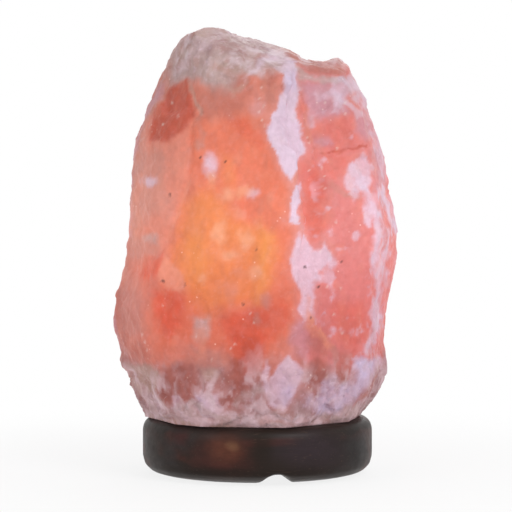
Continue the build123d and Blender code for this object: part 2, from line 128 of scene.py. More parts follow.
def swirl(points, size, reach, seed):
    """Offsets up to this reach that bend a pattern, one for each axis. size is in millimetres."""
    return reach * np.stack([cloudy(points, size, seed + 10 * axis) for axis in range(points.shape[1])], 1)


def pairs(numbers):
    """Points from numbers listed as x, y, x, y and so on."""
    return list(zip(numbers[::2], numbers[1::2]))


def to_stroke(places, path):
    """Distance from each place to a line through the path's points."""
    nearest = np.full(len(places), np.inf)
    for start, end in zip(path, path[1:]):
        start, run = np.array(start, float), np.subtract(end, start).astype(float)
        along = np.clip((places - start) @ run / max(run @ run, 1e-9), 0, 1)
        nearest = np.minimum(nearest, np.linalg.norm(places - start - along[:, None] * run, axis=1))
    return nearest


def to_patch(places, outline):
    """Distance from each place to a closed outline, negative inside it."""
    inside = np.zeros(len(places), bool)
    for (x0, y0), (x1, y1) in zip(outline, outline[1:] + outline[:1]):
        if y0 == y1:
            continue
        crosses = (places[:, 1] > min(y0, y1)) & (places[:, 1] <= max(y0, y1))
        inside ^= crosses & (places[:, 0] < x0 + (places[:, 1] - y0) * (x1 - x0) / (y1 - y0))
    return np.where(inside, -1, 1) * to_stroke(places, outline + outline[:1])


def to_blob(places, middle, half_width, half_height):
    """How far each place is from the middle of an ellipse, 1 on its edge."""
    return np.hypot(*((places - middle) / (half_width, half_height)).T)


# --- colours, as the photograph shows them ---
def srgb(red, green, blue):
    """Linear colour from the values 0 to 255 that a picture shows."""
    values = np.array([red, green, blue]) / 255
    return np.where(values <= 0.04045, values / 12.92, ((values + 0.055) / 1.055) ** 2.4)


AMBER = srgb(243, 143, 90)
YELLOW = srgb(246, 160, 86)
ORANGE = srgb(237, 127, 98)
EMBER = srgb(232, 106, 80)
RUST = srgb(198, 90, 70)
SALMON = srgb(229, 138, 118)
CORAL = srgb(231, 136, 132)
ROSE = srgb(206, 142, 130)
ORCHID = srgb(210, 158, 172)
PEACH = srgb(244, 158, 132)
APRICOT = srgb(250, 176, 140)
LILAC = srgb(239, 214, 234)
ASH = srgb(204, 182, 180)
CREAM = srgb(202, 172, 160)
STONE = srgb(202, 172, 168)
CLAY = srgb(200, 125, 111)
MAUVE = srgb(178, 144, 146)
BROWN = srgb(176, 102, 90)
FROST = srgb(240, 212, 218)
BRIGHT = srgb(244, 224, 232)
ICE = srgb(224, 211, 242)
SHADE = srgb(176, 112, 104)
BLUSH = srgb(234, 164, 160)
SPECK = srgb(70, 52, 48)
GLINT = srgb(255, 236, 226)
WOOD = srgb(48, 38, 33)
WOOD_RED = srgb(84, 46, 38)
WOOD_GREY = srgb(60, 54, 54)
WOOD_LINE = srgb(30, 23, 20)
WOOD_PORE = srgb(84, 66, 56)

# --- marks on the crystal's front ---
# Patches: colour, strength, softness of the edge in pixels, x and y of each corner. An edge softer than BROAD isn't
# broken up.
BROAD = 9
PATCHES = [
    # ground of the left part, the right-hand face and the outer edges, whose muted tones are partly painted shade
    (SALMON, 1.2, 12, 90, 5, 300, 5, 300, 440, 90, 440), (CORAL, 1.2, 12, 300, 5, 430, 5, 430, 440, 300, 440),
    (ROSE, 0.7, 9, 90, 5, 196, 5, 160, 92, 146, 140, 142, 200, 140, 250, 128, 290, 126, 350, 140, 440, 90, 440),
    (MAUVE, 0.75, 8, 90, 340, 128, 350, 150, 366, 230, 360, 262, 376, 300, 366, 352, 372, 392, 352, 410, 440, 90,
     440),
    (STONE, 0.8, 9, 150, 5, 300, 5, 352, 66, 300, 66, 262, 72, 200, 82, 166, 84),
    (PEACH, 0.35, 12, 128, 150, 186, 140, 178, 226, 152, 262, 126, 244),
    # the lit front block
    (ORANGE, 0.9, 9, 192, 118, 205, 106, 224, 96, 240, 99, 262, 122, 276, 148, 288, 180, 296, 215, 298, 262, 297, 300,
     288, 335, 270, 352, 248, 372, 226, 352, 196, 346, 160, 350, 148, 325, 152, 290, 168, 258, 176, 222, 188, 180),
    (AMBER, 0.9, 10, 184, 204, 200, 190, 214, 186, 228, 200, 238, 216, 256, 224, 276, 232, 284, 252, 272, 290, 262,
     306, 250, 300, 232, 306, 206, 316, 192, 300, 178, 284, 168, 262, 178, 236),
    (AMBER, 0.6, 8, 222, 150, 236, 160, 236, 186, 224, 182),
    (YELLOW, 0.6, 9, 262, 222, 274, 232, 276, 252, 268, 286, 258, 300, 258, 262),
    (YELLOW, 0.35, 10, 186, 240, 202, 232, 212, 262, 204, 290, 188, 276),
    (EMBER, 0.75, 5, 150, 258, 162, 252, 160, 272, 148, 282, 140, 276),
    (EMBER, 1.0, 7, 152, 290, 176, 288, 188, 300, 186, 326, 170, 336, 156, 318),
    (EMBER, 1.0, 7, 222, 318, 242, 306, 262, 308, 284, 300, 290, 318, 276, 338, 262, 352, 250, 386, 236, 388,
     232, 352),
    (RUST, 0.6, 5, 244, 336, 258, 338, 256, 358, 246, 384, 236, 386, 232, 370),
    (EMBER, 0.5, 6, 226, 112, 246, 116, 262, 134, 258, 148, 236, 134),
    # upper left of the block
    (CLAY, 0.7, 8, 200, 92, 222, 84, 250, 92, 256, 112, 238, 114, 210, 122, 196, 118),
    (CLAY, 0.75, 5, 222, 72, 240, 72, 248, 80, 240, 92, 224, 88),
    (CLAY, 0.75, 4, 262, 76, 272, 68, 279, 84, 277, 100, 262, 104),
    (RUST, 0.9, 3, 172, 80, 188, 76, 191, 96, 194, 114, 186, 126, 172, 137, 161, 144, 150, 139, 152, 127, 156,
     108, 162, 94),
    (ROSE, 0.7, 7, 140, 148, 160, 146, 176, 146, 182, 170, 168, 190, 140, 186, 133, 168),
    (SALMON, 0.7, 6, 164, 150, 184, 132, 188, 160, 184, 190, 172, 214, 160, 208, 166, 180),
    (ORANGE, 0.8, 2, 189, 126, 195, 128, 196, 160, 190, 178, 188, 160),
    (ROSE, 0.65, 7, 138, 188, 164, 184, 174, 200, 168, 222, 144, 226, 134, 208),
    (SALMON, 0.7, 6, 146, 214, 166, 212, 170, 232, 154, 240, 142, 230),
    (ROSE, 0.6, 7, 132, 236, 156, 234, 156, 256, 140, 262, 128, 254),
    (ROSE, 0.7, 8, 114, 286, 138, 278, 146, 300, 148, 332, 128, 340, 112, 318),
    (PEACH, 0.8, 2, 163, 256, 171, 262, 184, 274, 187, 284, 180, 291, 166, 287, 156, 278, 158, 266),
    # right-hand face
    (CORAL, 0.85, 7, 300, 96, 330, 84, 362, 92, 378, 140, 388, 200, 392, 260, 384, 330, 366, 352, 338, 352, 318, 330,
     312, 290, 304, 220, 306, 150),
    (ORCHID, 0.75, 6, 298, 84, 322, 78, 346, 88, 348, 112, 322, 118, 306, 112),
    (EMBER, 0.35, 5, 314, 126, 334, 112, 352, 116, 356, 142, 334, 152, 320, 152),
    (EMBER, 0.4, 5, 320, 156, 356, 150, 358, 164, 346, 180, 330, 184, 321, 170),
    (EMBER, 0.6, 5, 298, 158, 312, 152, 322, 176, 329, 198, 331, 222, 322, 240, 308, 241, 299, 214),
    (EMBER, 0.45, 3, 297, 104, 304, 104, 309, 134, 302, 134),
    (EMBER, 0.45, 8, 330, 300, 366, 300, 372, 330, 352, 352, 336, 340),
    (ORCHID, 0.6, 5, 356, 108, 370, 108, 376, 134, 366, 142, 354, 132),
    (ORCHID, 0.7, 5, 372, 150, 382, 150, 388, 184, 376, 192),
    (CORAL, 0.5, 6, 322, 214, 346, 206, 352, 222, 334, 236),
    # veins and skins of pale salt
    (LILAC, 0.95, 3, 262, 46, 285, 52, 298, 62, 299, 74, 297, 92, 295, 108, 303, 128, 306, 152, 298, 162, 290, 182,
     282, 174, 273, 150, 264, 130, 271, 114, 281, 98, 283, 76, 266, 66),
    (LILAC, 0.9, 2, 293, 184, 302, 182, 302, 206, 299, 226, 291, 220),
    (CORAL, 0.6, 5, 300, 186, 312, 176, 318, 150, 306, 150, 300, 170),
    (LILAC, 0.75, 3, 297, 232, 304, 240, 314, 250, 328, 240, 330, 256, 320, 270, 312, 284, 312, 312, 304, 324, 299,
     312, 299, 290, 291, 276, 294, 254),
    (LILAC, 0.55, 4, 350, 164, 364, 152, 373, 166, 370, 190, 350, 190, 342, 182),
    (LILAC, 0.6, 4, 354, 80, 366, 90, 374, 108, 368, 112, 352, 96),
    (LILAC, 0.55, 5, 332, 76, 356, 74, 360, 88, 342, 98, 330, 92),
    (LILAC, 0.85, 4, 290, 354, 279, 360, 269, 374, 266, 388, 270, 402, 284, 410, 297, 390, 303, 376, 296, 362),
    (ICE, 1.0, 4, 355, 356, 370, 360, 379, 356, 370, 374, 364, 388, 356, 402, 338, 414, 322, 414, 312, 406,
     318, 396, 329, 388, 333, 376, 341, 384, 355, 384),
    (ORCHID, 0.6, 5, 298, 318, 310, 320, 312, 344, 304, 364, 294, 356, 290, 336),
    # the crumbled foot
    (ASH, 0.9, 5, 136, 392, 160, 402, 200, 408, 250, 412, 300, 410, 340, 412, 368, 396, 390, 380, 360, 434, 250,
     440, 140, 420),
    (CREAM, 0.9, 4, 126, 362, 150, 364, 160, 374, 158, 396, 142, 398, 128, 384),
    (MAUVE, 0.6, 5, 130, 388, 146, 392, 152, 410, 140, 410),
    (BROWN, 0.8, 4, 158, 370, 176, 360, 198, 366, 198, 388, 190, 406, 166, 406, 160, 392),
    (CLAY, 0.6, 4, 128, 342, 146, 338, 150, 358, 134, 362),
    (BROWN, 0.75, 4, 226, 352, 240, 360, 248, 384, 242, 410, 228, 408, 224, 384),
    (ROSE, 0.75, 5, 192, 348, 224, 350, 226, 366, 202, 368, 188, 360),
    (CREAM, 0.7, 3, 202, 368, 218, 368, 220, 380, 204, 382),
    (LILAC, 0.7, 4, 197, 392, 220, 392, 228, 408, 214, 420, 198, 412),
    (LILAC, 0.6, 3, 172, 396, 182, 396, 182, 408, 174, 410),
    (MAUVE, 0.5, 7, 244, 372, 264, 364, 268, 400, 256, 412, 240, 406),
    (BROWN, 0.7, 3, 306, 364, 318, 358, 330, 366, 328, 384, 314, 388, 303, 380),
    (BROWN, 0.5, 5, 312, 322, 326, 340, 330, 358, 312, 356, 306, 340),
    (CLAY, 0.55, 4, 338, 352, 354, 352, 354, 382, 340, 380),
    (MAUVE, 0.6, 4, 376, 372, 388, 352, 388, 384, 370, 404, 362, 402),
    (ASH, 0.7, 4, 194, 316, 210, 314, 212, 336, 204, 346, 194, 338),
    (MAUVE, 0.55, 5, 286, 398, 312, 404, 310, 416, 288, 414),
    # cap
    (STONE, 0.9, 6, 172, 56, 186, 40, 208, 26, 240, 30, 290, 44, 284, 72, 262, 76, 242, 72, 228, 92, 212, 90, 198,
     78, 186, 74, 168, 84),
    (CREAM, 0.6, 5, 212, 58, 236, 54, 250, 66, 236, 72, 214, 74), (MAUVE, 0.7, 3, 198, 44, 214, 42, 214, 52, 202, 54),
    (MAUVE, 0.65, 3, 224, 48, 244, 46, 246, 54, 228, 54), (MAUVE, 0.7, 3, 252, 58, 266, 54, 268, 62, 256, 66),
    (CLAY, 0.7, 3, 280, 48, 304, 50, 318, 62, 342, 62, 340, 74, 314, 72, 300, 64),
    (ASH, 0.7, 3, 299, 70, 316, 74, 344, 76, 346, 82, 318, 80, 300, 82),
]
# Round marks: colour, strength, middle, half width, half height.
BLOBS = [
    (LILAC, 0.75, (211, 164), 8, 13), (ROSE, 0.6, (198, 146), 6, 9), (LILAC, 0.6, (251, 194), 7, 6),
    (APRICOT, 0.7, (227, 192), 8, 9), (APRICOT, 0.7, (221, 230), 7, 14), (APRICOT, 0.65, (246, 240), 8, 12),
    (APRICOT, 0.7, (229, 254), 12, 8), (APRICOT, 0.7, (258, 274), 9, 6), (APRICOT, 0.6, (203, 279), 4, 6),
    (APRICOT, 0.6, (243, 192), 10, 7), (APRICOT, 0.5, (212, 178), 6, 9), (PEACH, 0.6, (240, 212), 7, 6),
    (PEACH, 0.5, (228, 290), 9, 12), (ROSE, 0.6, (267, 302), 7, 9), (ROSE, 0.6, (256, 318), 5, 7),
    (LILAC, 0.6, (150, 180), 9, 6), (ASH, 0.5, (152, 238), 8, 6), (PEACH, 0.4, (270, 200), 6, 12),
    (PEACH, 0.4, (204, 336), 7, 12), (LILAC, 0.4, (330, 260), 5, 10), (ORCHID, 0.6, (312, 118), 8, 10),
    (ICE, 0.8, (320, 402), 15, 11), (ICE, 0.6, (326, 384), 8, 8), (BLUSH, 0.7, (257, 108), 8, 14),
    (ICE, 0.6, (284, 392), 8, 12), (ICE, 0.5, (202, 404), 8, 8), (ORCHID, 0.6, (322, 140), 10, 8),
    (ICE, 0.5, (292, 80), 8, 14), (LILAC, 0.6, (276, 56), 12, 6), (ICE, 0.5, (356, 396), 9, 9),
]
# Lines: colour, strength, half width in pixels, x and y of each point.
STROKES = [
    # The next two lines are painted light: lilac on the narrow right side face for cool light from the right, and
    # sheen along the right outline.
    (LILAC, 0.75, 4, 379, 196, 378, 226, 376, 250, 377, 286, 379, 326),
    (LILAC, 0.7, 4, 393, 196, 399, 222, 401, 252, 395, 288, 390, 330),
    (CORAL, 0.6, 2, 386, 214, 388, 250, 389, 284, 385, 320), (LILAC, 0.6, 3, 372, 132, 380, 152, 386, 176),
    (PEACH, 0.7, 1.2, 311, 318, 318, 330, 325, 344), (PEACH, 0.6, 1.5, 303, 106, 309, 124, 312, 140),
    (RUST, 0.7, 0.9, 319, 155, 332, 152, 346, 149, 358, 147, 367, 147),
    (RUST, 0.5, 0.9, 298, 94, 303, 106, 308, 124, 310, 138),
    (CREAM, 0.5, 2.5, 198, 66, 210, 74, 222, 84, 234, 92, 246, 84), (CREAM, 0.45, 2, 188, 82, 194, 98, 200, 112),
    (LILAC, 0.5, 3, 257, 70, 268, 62, 280, 58), (ROSE, 0.5, 3, 196, 120, 204, 132, 200, 146),
    (ROSE, 0.5, 2.5, 330, 186, 346, 196, 362, 198), (PEACH, 0.5, 1.5, 166, 242, 174, 226, 182, 206, 188, 184),
    # This stroke and the next three, along the left outline, are painted sheen and shade.
    (ROSE, 0.8, 5, 163, 84, 152, 106, 140, 134, 133, 166, 130, 200, 131, 228, 128, 250, 120, 274),
    (CLAY, 0.7, 6, 118, 290, 114, 312, 120, 338, 124, 354),
    (ORCHID, 0.6, 3, 160, 84, 148, 108, 137, 134, 131, 166, 128, 200, 128, 228, 124, 250),
    (ORCHID, 0.5, 3, 116, 280, 112, 300, 114, 326, 120, 350), (ROSE, 0.6, 3, 218, 66, 232, 76, 246, 80),
    (CLAY, 0.5, 3, 226, 86, 240, 80, 252, 90), (MAUVE, 0.7, 5, 130, 386, 136, 402, 146, 414),
    (CREAM, 0.7, 3, 178, 60, 186, 48, 197, 36, 212, 29), (ASH, 0.8, 3, 205, 56, 220, 52, 236, 58, 248, 68),
    (MAUVE, 0.7, 2.5, 186, 46, 198, 42, 212, 44, 222, 40), (MAUVE, 0.75, 2.5, 224, 44, 240, 42, 256, 46, 272, 50),
    (LILAC, 0.8, 2.5, 250, 72, 258, 66, 264, 60, 276, 56), (CLAY, 0.6, 2, 255, 62, 262, 56, 268, 54),
    (ASH, 0.7, 2, 240, 36, 262, 40, 284, 46), (LILAC, 0.8, 3, 361, 82, 369, 96, 374, 110),
    (LILAC, 0.8, 2.5, 360, 178, 372, 196, 379, 214), (CREAM, 0.8, 3, 146, 414, 170, 422, 200, 427, 236, 428),
    (ASH, 0.9, 3, 176, 412, 196, 404, 204, 412, 222, 416), (ASH, 0.8, 2.5, 236, 404, 246, 392, 262, 388),
    (ROSE, 0.5, 2.5, 250, 424, 266, 420, 290, 424), (LILAC, 0.8, 3, 266, 360, 262, 372, 268, 392, 276, 404),
    (CLAY, 0.6, 2, 296, 350, 303, 368, 302, 384, 312, 394), (LILAC, 0.8, 3, 330, 404, 344, 396, 352, 380, 356, 366),
    (CLAY, 0.65, 2, 376, 376, 366, 392, 356, 402), (ROSE, 0.6, 3, 334, 352, 336, 372, 338, 388),
    (LILAC, 0.75, 3, 384, 190, 390, 214, 397, 230), (LILAC, 0.7, 3, 366, 186, 372, 204, 368, 222),
    (LILAC, 0.7, 2.5, 388, 240, 382, 262, 386, 284), (LILAC, 0.7, 3, 380, 318, 374, 336, 366, 352),
    (LILAC, 0.65, 3, 340, 78, 356, 84, 366, 98, 374, 118), (LILAC, 0.6, 3, 318, 96, 330, 92, 346, 100, 360, 112),
    (LILAC, 0.6, 2.5, 286, 96, 281, 112, 284, 134, 293, 152), (PEACH, 0.7, 3, 306, 300, 309, 318, 318, 334, 330, 348),
    (LILAC, 0.8, 4, 330, 410, 350, 398, 366, 382, 378, 362), (LILAC, 0.75, 3, 312, 404, 324, 400, 336, 390, 346, 384),
    (FROST, 0.8, 3, 156, 396, 168, 408, 190, 420, 214, 424), (FROST, 0.75, 3, 130, 370, 140, 382, 150, 400, 160, 412),
    (FROST, 0.75, 3, 236, 420, 262, 416, 290, 420, 318, 416),
    (FROST, 0.7, 2.5, 216, 374, 210, 390, 216, 404, 232, 414), (FROST, 0.7, 3, 176, 70, 190, 56, 204, 44, 222, 36),
    (FROST, 0.6, 3, 212, 62, 232, 58, 250, 66, 262, 74), (FROST, 0.6, 2.5, 228, 34, 250, 40, 272, 48, 290, 58),
    (PEACH, 0.6, 3, 200, 330, 206, 344, 202, 356), (SALMON, 0.7, 3, 176, 336, 184, 348, 196, 356),
]
# Dark specks, with the radius of each in pixels, and bright glints, which are painted highlights.
SPECKS = [
    ((170, 195), 1.4), ((200, 158), 1.3), ((163, 281), 2.2), ((185, 285), 1.2), ((256, 249), 1.2), ((305, 267), 1.4),
    ((318, 287), 1.2), ((243, 304), 1.4), ((311, 318), 1.2), ((225, 162), 1.0), ((342, 262), 0.9),
]
GLINTS = [
    (262, 88), (260, 98), (264, 106), (259, 112), (262, 120), (264, 126), (307, 137), (309, 143), (322, 168),
    (324, 176), (321, 186), (326, 188), (309, 170), (250, 314), (254, 323), (235, 344), (231, 349), (230, 392),
    (312, 390), (324, 370), (326, 378), (318, 396), (325, 103), (345, 103), (345, 114), (337, 148), (334, 314),
    (342, 333), (163, 306), (145, 342), (147, 350), (142, 335), (172, 103), (178, 116), (163, 124), (243, 46),
    (327, 287), (341, 289), (321, 252), (336, 222), (222, 394), (284, 372), (296, 372), (196, 336), (212, 360),
]

# --- carving of the crystal ---
VOXEL = 1.1 * MM
SMOOTH_PASSES = 5
CHIP_COUNT = 520
CHIP_REACH = (5 * MM, 18 * MM)
CHIP_DEPTH = 0.3 * MM
SWELL = 0.35  # millimetres put back after the smoothing
BORE_CLEAR = 9.5 * MM  # round the lampholder's barrel nothing is carved
BORE_END = 108 * MM  # height in the rock from which everything is carved
KEPT_FOOT = (0.3 * MM, 3 * MM)  # heights between which the carving fades in
CRUMBLED_FOOT = (14 * MM, 44 * MM)  # heights between which the crumbled foot fades out
CRUMBLED_TOP = (34 * MM, 12 * MM)  # depths below the top between which the crumbled top fades in
# Broad forms of the weathered skin: height and size in millimetres, seed.
BROAD_FORMS = [(1.1, 24, 11), (0.75, 9, 21)]
# Relief on the front: depth in millimetres (out is positive), half width in pixels, x and y of each point.
RELIEF = [
    (-1.3, 3.0, 191, 76, 193, 100, 192, 124, 190, 150, 188, 180, 176, 218, 166, 242),
    (-1.0, 2.2, 298, 92, 304, 108, 309, 130, 316, 152, 322, 168, 324, 190),
    (-1.0, 1.8, 319, 156, 334, 153, 350, 149, 366, 147),
    (1.0, 2.2, 311, 318, 318, 330, 326, 346),
    (-1.5, 10.0, 318, 372, 316, 378),
    (1.2, 4.0, 194, 114, 180, 132, 161, 146, 148, 141),
    (-0.9, 6.0, 170, 96, 166, 120),
    (1.3, 4.0, 185, 290, 170, 291, 156, 280, 160, 262, 176, 240),
    (-1.2, 5.0, 176, 372, 190, 372, 190, 396),
    (1.0, 3.0, 300, 82, 322, 80, 346, 84),
    (-1.2, 4.0, 304, 72, 326, 74, 346, 78),
    (-1.4, 6.0, 232, 356, 240, 380, 232, 404),
    (1.2, 5.0, 262, 372, 268, 392, 262, 408),
    (1.4, 3.5, 125, 362, 128, 366),
    (-1.2, 4.0, 240, 96, 250, 84, 262, 78),
    (-1.0, 4.0, 356, 382, 366, 366, 380, 352),
]
# The same on the outline seen from the front, all round its edge.
EDGE_RELIEF = [
    (-2.0, 6.0, 306, 56, 322, 58),
    (2.0, 6.0, 334, 66, 342, 72),
    (1.6, 12.0, 114, 282, 112, 312),
    (1.4, 4.0, 124, 360, 126, 366),
    (-1.2, 4.0, 126, 372, 130, 378),
]


def put(name, data):
    """A new object in the scene."""
    made = bpy.data.objects.new(name, data)
    bpy.context.scene.collection.objects.link(made)
    return made


def mesh_of(name, node, voxel):
    """A new object with an even skin of small faces over a CAD node's shape."""
    made = put(name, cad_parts[node].data.copy())
    made.data.materials.clear()
    remesh = made.modifiers.new("even skin", "REMESH")
    remesh.mode = "VOXEL"
    remesh.voxel_size = voxel
    graph = bpy.context.evaluated_depsgraph_get()
    skin = bpy.data.meshes.new_from_object(made.evaluated_get(graph))
    made.modifiers.clear()
    made.data = skin
    skin.shade_smooth()
    return made


def vectors(mesh, kind="co"):
    """The vertices' places, or their normals with the kind "normal", one row each."""
    found = np.empty(len(mesh.vertices) * 3)
    mesh.vertices.foreach_get(kind, found)
    return found.reshape(-1, 3)


def set_vertices(mesh, places):
    mesh.vertices.foreach_set("co", places.ravel())
    mesh.update()


def relax(mesh, passes, hold):
    """Smooths the skin. hold is 0 where a point moves freely and 1 where it stays."""
    edges = np.empty(len(mesh.edges) * 2, int)
    mesh.edges.foreach_get("vertices", edges)
    edges = edges.reshape(-1, 2)
    places = vectors(mesh)
    degree = np.bincount(edges.ravel(), minlength=len(places))[:, None]
    for _ in range(passes):
        total = np.zeros_like(places)
        np.add.at(total, edges[:, 0], places[edges[:, 1]])
        np.add.at(total, edges[:, 1], places[edges[:, 0]])
        places += (1 - hold)[:, None] * 0.7 * (total / degree - places)
    set_vertices(mesh, places)


def chip(places, facing, free, seed):
    """Strikes many shallow flat chips off the skin, as a hammer leaves them."""
    chance = np.random.default_rng(seed)
    for _ in range(CHIP_COUNT):
        struck = chance.integers(len(places))
        reach = chance.uniform(*CHIP_REACH)
        near = np.flatnonzero(np.linalg.norm(places - places[struck], axis=1) < reach)
        tilt = facing[near].mean(axis=0) + chance.normal(0, 0.08, 3)
        tilt /= np.linalg.norm(tilt)
        high = (places[near] - places[struck]) @ tilt + CHIP_DEPTH * chance.uniform(0.3, 1)
        fade = 1 - ramp(np.linalg.norm(places[near] - places[struck], axis=1), 0.75 * reach, reach)
        places[near] -= (np.maximum(high, 0) * fade * free[near])[:, None] * tilt


def crumbs(places, size, seed):
    """Heights of flat tilted facets, one for each crumb of salt of this size in millimetres, from about -1 to 1."""
    chance = np.random.default_rng(seed)
    spread = np.ptp(places, axis=0)
    count = int(np.prod(spread / (size * MM)))
    middles = places.min(axis=0) + chance.uniform(0, 1, (count, 3)) * spread
    level, tilt = chance.uniform(-0.6, 0.6, count), chance.normal(0, 0.7, (count, 3))
    tree = KDTree(count)
    for index, middle in enumerate(middles):
        tree.insert(middle, index)
    tree.balance()
    bent = places + swirl(places, size, 0.25 * size * MM, seed)
    nearest = np.array([tree.find(point)[1] for point in bent])
    return level[nearest] + ((bent - middles[nearest]) * tilt[nearest]).sum(axis=1) / (size * MM)


def toward(places, facing, camera):
    """How squarely each point of a surface faces the camera."""
    sight = np.array(camera.location) - places
    sight /= np.linalg.norm(sight, axis=1)[:, None]
    return (sight * facing).sum(axis=1)


def carve_crystal(rock, camera):
    """Turns the CAD form into a weathered rock, and leaves the bore, the plug holes and the foot alone."""
    mesh = rock.data
    low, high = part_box("salt_crystal")
    places = vectors(mesh)
    outside = np.hypot(places[:, 0], places[:, 1]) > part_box("holder_body")[1].x + BORE_CLEAR
    above = places[:, 2] > low.z + BORE_END
    free = np.where(outside | above, ramp(places[:, 2], *(low.z + rise for rise in KEPT_FOOT)), 0)
    relax(mesh, SMOOTH_PASSES, 1 - free)
    places = vectors(mesh)
    chip(places, vectors(mesh, "normal"), free, seed=4)
    set_vertices(mesh, places)
    relax(mesh, 2, 1 - free)
    places, facing = vectors(mesh), vectors(mesh, "normal")
    move = SWELL
    for height, size, seed in BROAD_FORMS:
        move = move + height * cloudy(places, size, seed)
    move += 0.28 * noise(places, 3.2, 31)
    crumble = 1 - ramp(places[:, 2], *(low.z + rise for rise in CRUMBLED_FOOT))
    crumble += 0.5 * ramp(places[:, 2], *(high.z - depth for depth in CRUMBLED_TOP))
    move += crumble * (0.8 * cloudy(places, 7, 41) + 0.85 * crumbs(places, 7.5, 51))
    move += 0.4 * crumbs(places, 13, 53) + 0.2 * crumbs(places, 5, 55)
    pixels = seen_at(places, camera) + swirl(places, 8, 2.0, 61)[:, :2]
    front = ramp(toward(places, facing, camera), 0.05, 0.4)
    for where, reliefs in ((front, RELIEF), (1, EDGE_RELIEF)):
        for depth, half_width, *path in reliefs:
            move += where * depth * bell(to_stroke(pixels, pairs(path)) / half_width)
    places += (move * MM * free)[:, None] * facing
    places[:, 2] = np.minimum(places[:, 2], high.z + 0.5 * MM)
    set_vertices(mesh, places)


# --- colour of the crystal ---
GLOW_HEIGHT = 0.110  # of the light in the rock
PATTERN_SPREAD, GLOW_SPREAD = 58 * MM, 72 * MM
BRIGHT_HEIGHT, BRIGHT_SPREAD = 0.138, 60 * MM  # of the brightest part of the skin
BORE_SKIN = 9 * MM  # round the lampholder's barrel the wall of the bore glows


def blend_in(tint, colour, share):
    tint += share[:, None] * (colour - tint)


def add_clouds(tint, places, *clouds):
    """Blends clouds in: colour, share, size in millimetres, seed, where it starts and is full, layers if not 3."""
    for colour, share, size, seed, low, high, *layers in clouds:
        blend_in(tint, colour, share * ramp(cloudy(places, size, seed, *layers), low, high))


def rise_of(places):
    """Height in the rock, from 0 at its foot to 1 at its top."""
    low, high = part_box("salt_crystal")
    return (places[:, 2] - low.z) / (high.z - low.z)


def lit_round(places, height, spread):
    """Light round a height in the rock, 1 there and less by this spread above and below."""
    return bell((places[:, 2] - height) / spread)


def veined_salt(places):
    """The rock's own pattern, on every side: lit coral salt, redder clouds, pale veins and a crumbled grey foot."""
    bent = places + swirl(places, 30, 9 * MM, 71) + swirl(places, 9, 2.5 * MM, 81)
    bent += swirl(places, 3.6, 1.6 * MM, 86)
    stretched = bent * (1, 1, 0.45)
    rise, lit = rise_of(places), lit_round(places, GLOW_HEIGHT, PATTERN_SPREAD)
    tint = np.tile(SALMON, (len(places), 1))
    add_clouds(
        tint, bent, (CORAL, 1, 52, 87, -0.2, 0.2), (ROSE, 0.8, 34, 91, 0.0, 0.45),
        (ORANGE, 0.9 * lit, 48, 101, -0.35, 0.25), (AMBER, 0.9 * lit**2, 40, 111, 0.0, 0.45),
        (EMBER, 0.6, 26, 121, 0.15, 0.45), (CLAY, 0.7 * ramp(rise, 0.5, 0.9), 22, 131, 0.2, 0.5),
        (BROWN, 0.6 * (1 - ramp(rise, 0.1, 0.35)), 20, 136, 0.1, 0.45), (PEACH, 0.7, 12, 141, 0.3, 0.55),
    )
    vein = 1 - np.abs(cloudy(stretched, 36, 151)) / 0.2
    chosen = ramp(cloudy(bent, 60, 161), -0.2, 0.1)
    patch = cloudy(stretched, 24, 171, 4)
    blend_in(tint, BLUSH, 0.6 * np.maximum(ramp(vein, -0.4, 0.6) * chosen, ramp(patch, 0.2, 0.45)))
    blend_in(tint, LILAC, 0.85 * ramp(vein, 0.25, 0.7) * chosen)
    blend_in(tint, LILAC, 0.7 * ramp(patch, 0.38, 0.5))
    foot = 1 - ramp(rise + 0.06 * cloudy(bent, 14, 181), 0.04, 0.18)
    add_clouds(tint, bent, (RUST, 0.5, 30, 176, 0.36, 0.44, 4))
    blend_in(tint, MAUVE, 0.7 * foot)
    add_clouds(tint, bent, (CREAM, 0.8 * foot, 16, 186, -0.2, 0.2), (ASH, 0.9 * foot, 11, 191, -0.3, 0.2))
    crown = ramp(rise + 0.06 * cloudy(bent, 20, 201), 0.84, 0.97)
    blend_in(tint, STONE, 0.75 * crown)
    add_clouds(tint, bent, (ROSE, 0.6 * crown, 18, 206, 0.0, 0.4))
    add_clouds(tint, stretched, (LILAC, 0.5 * crown, 15, 208, 0.1, 0.4))
    add_clouds(tint, bent, (MAUVE, 0.7 * crown, 12, 211, 0.0, 0.4))
    return tint


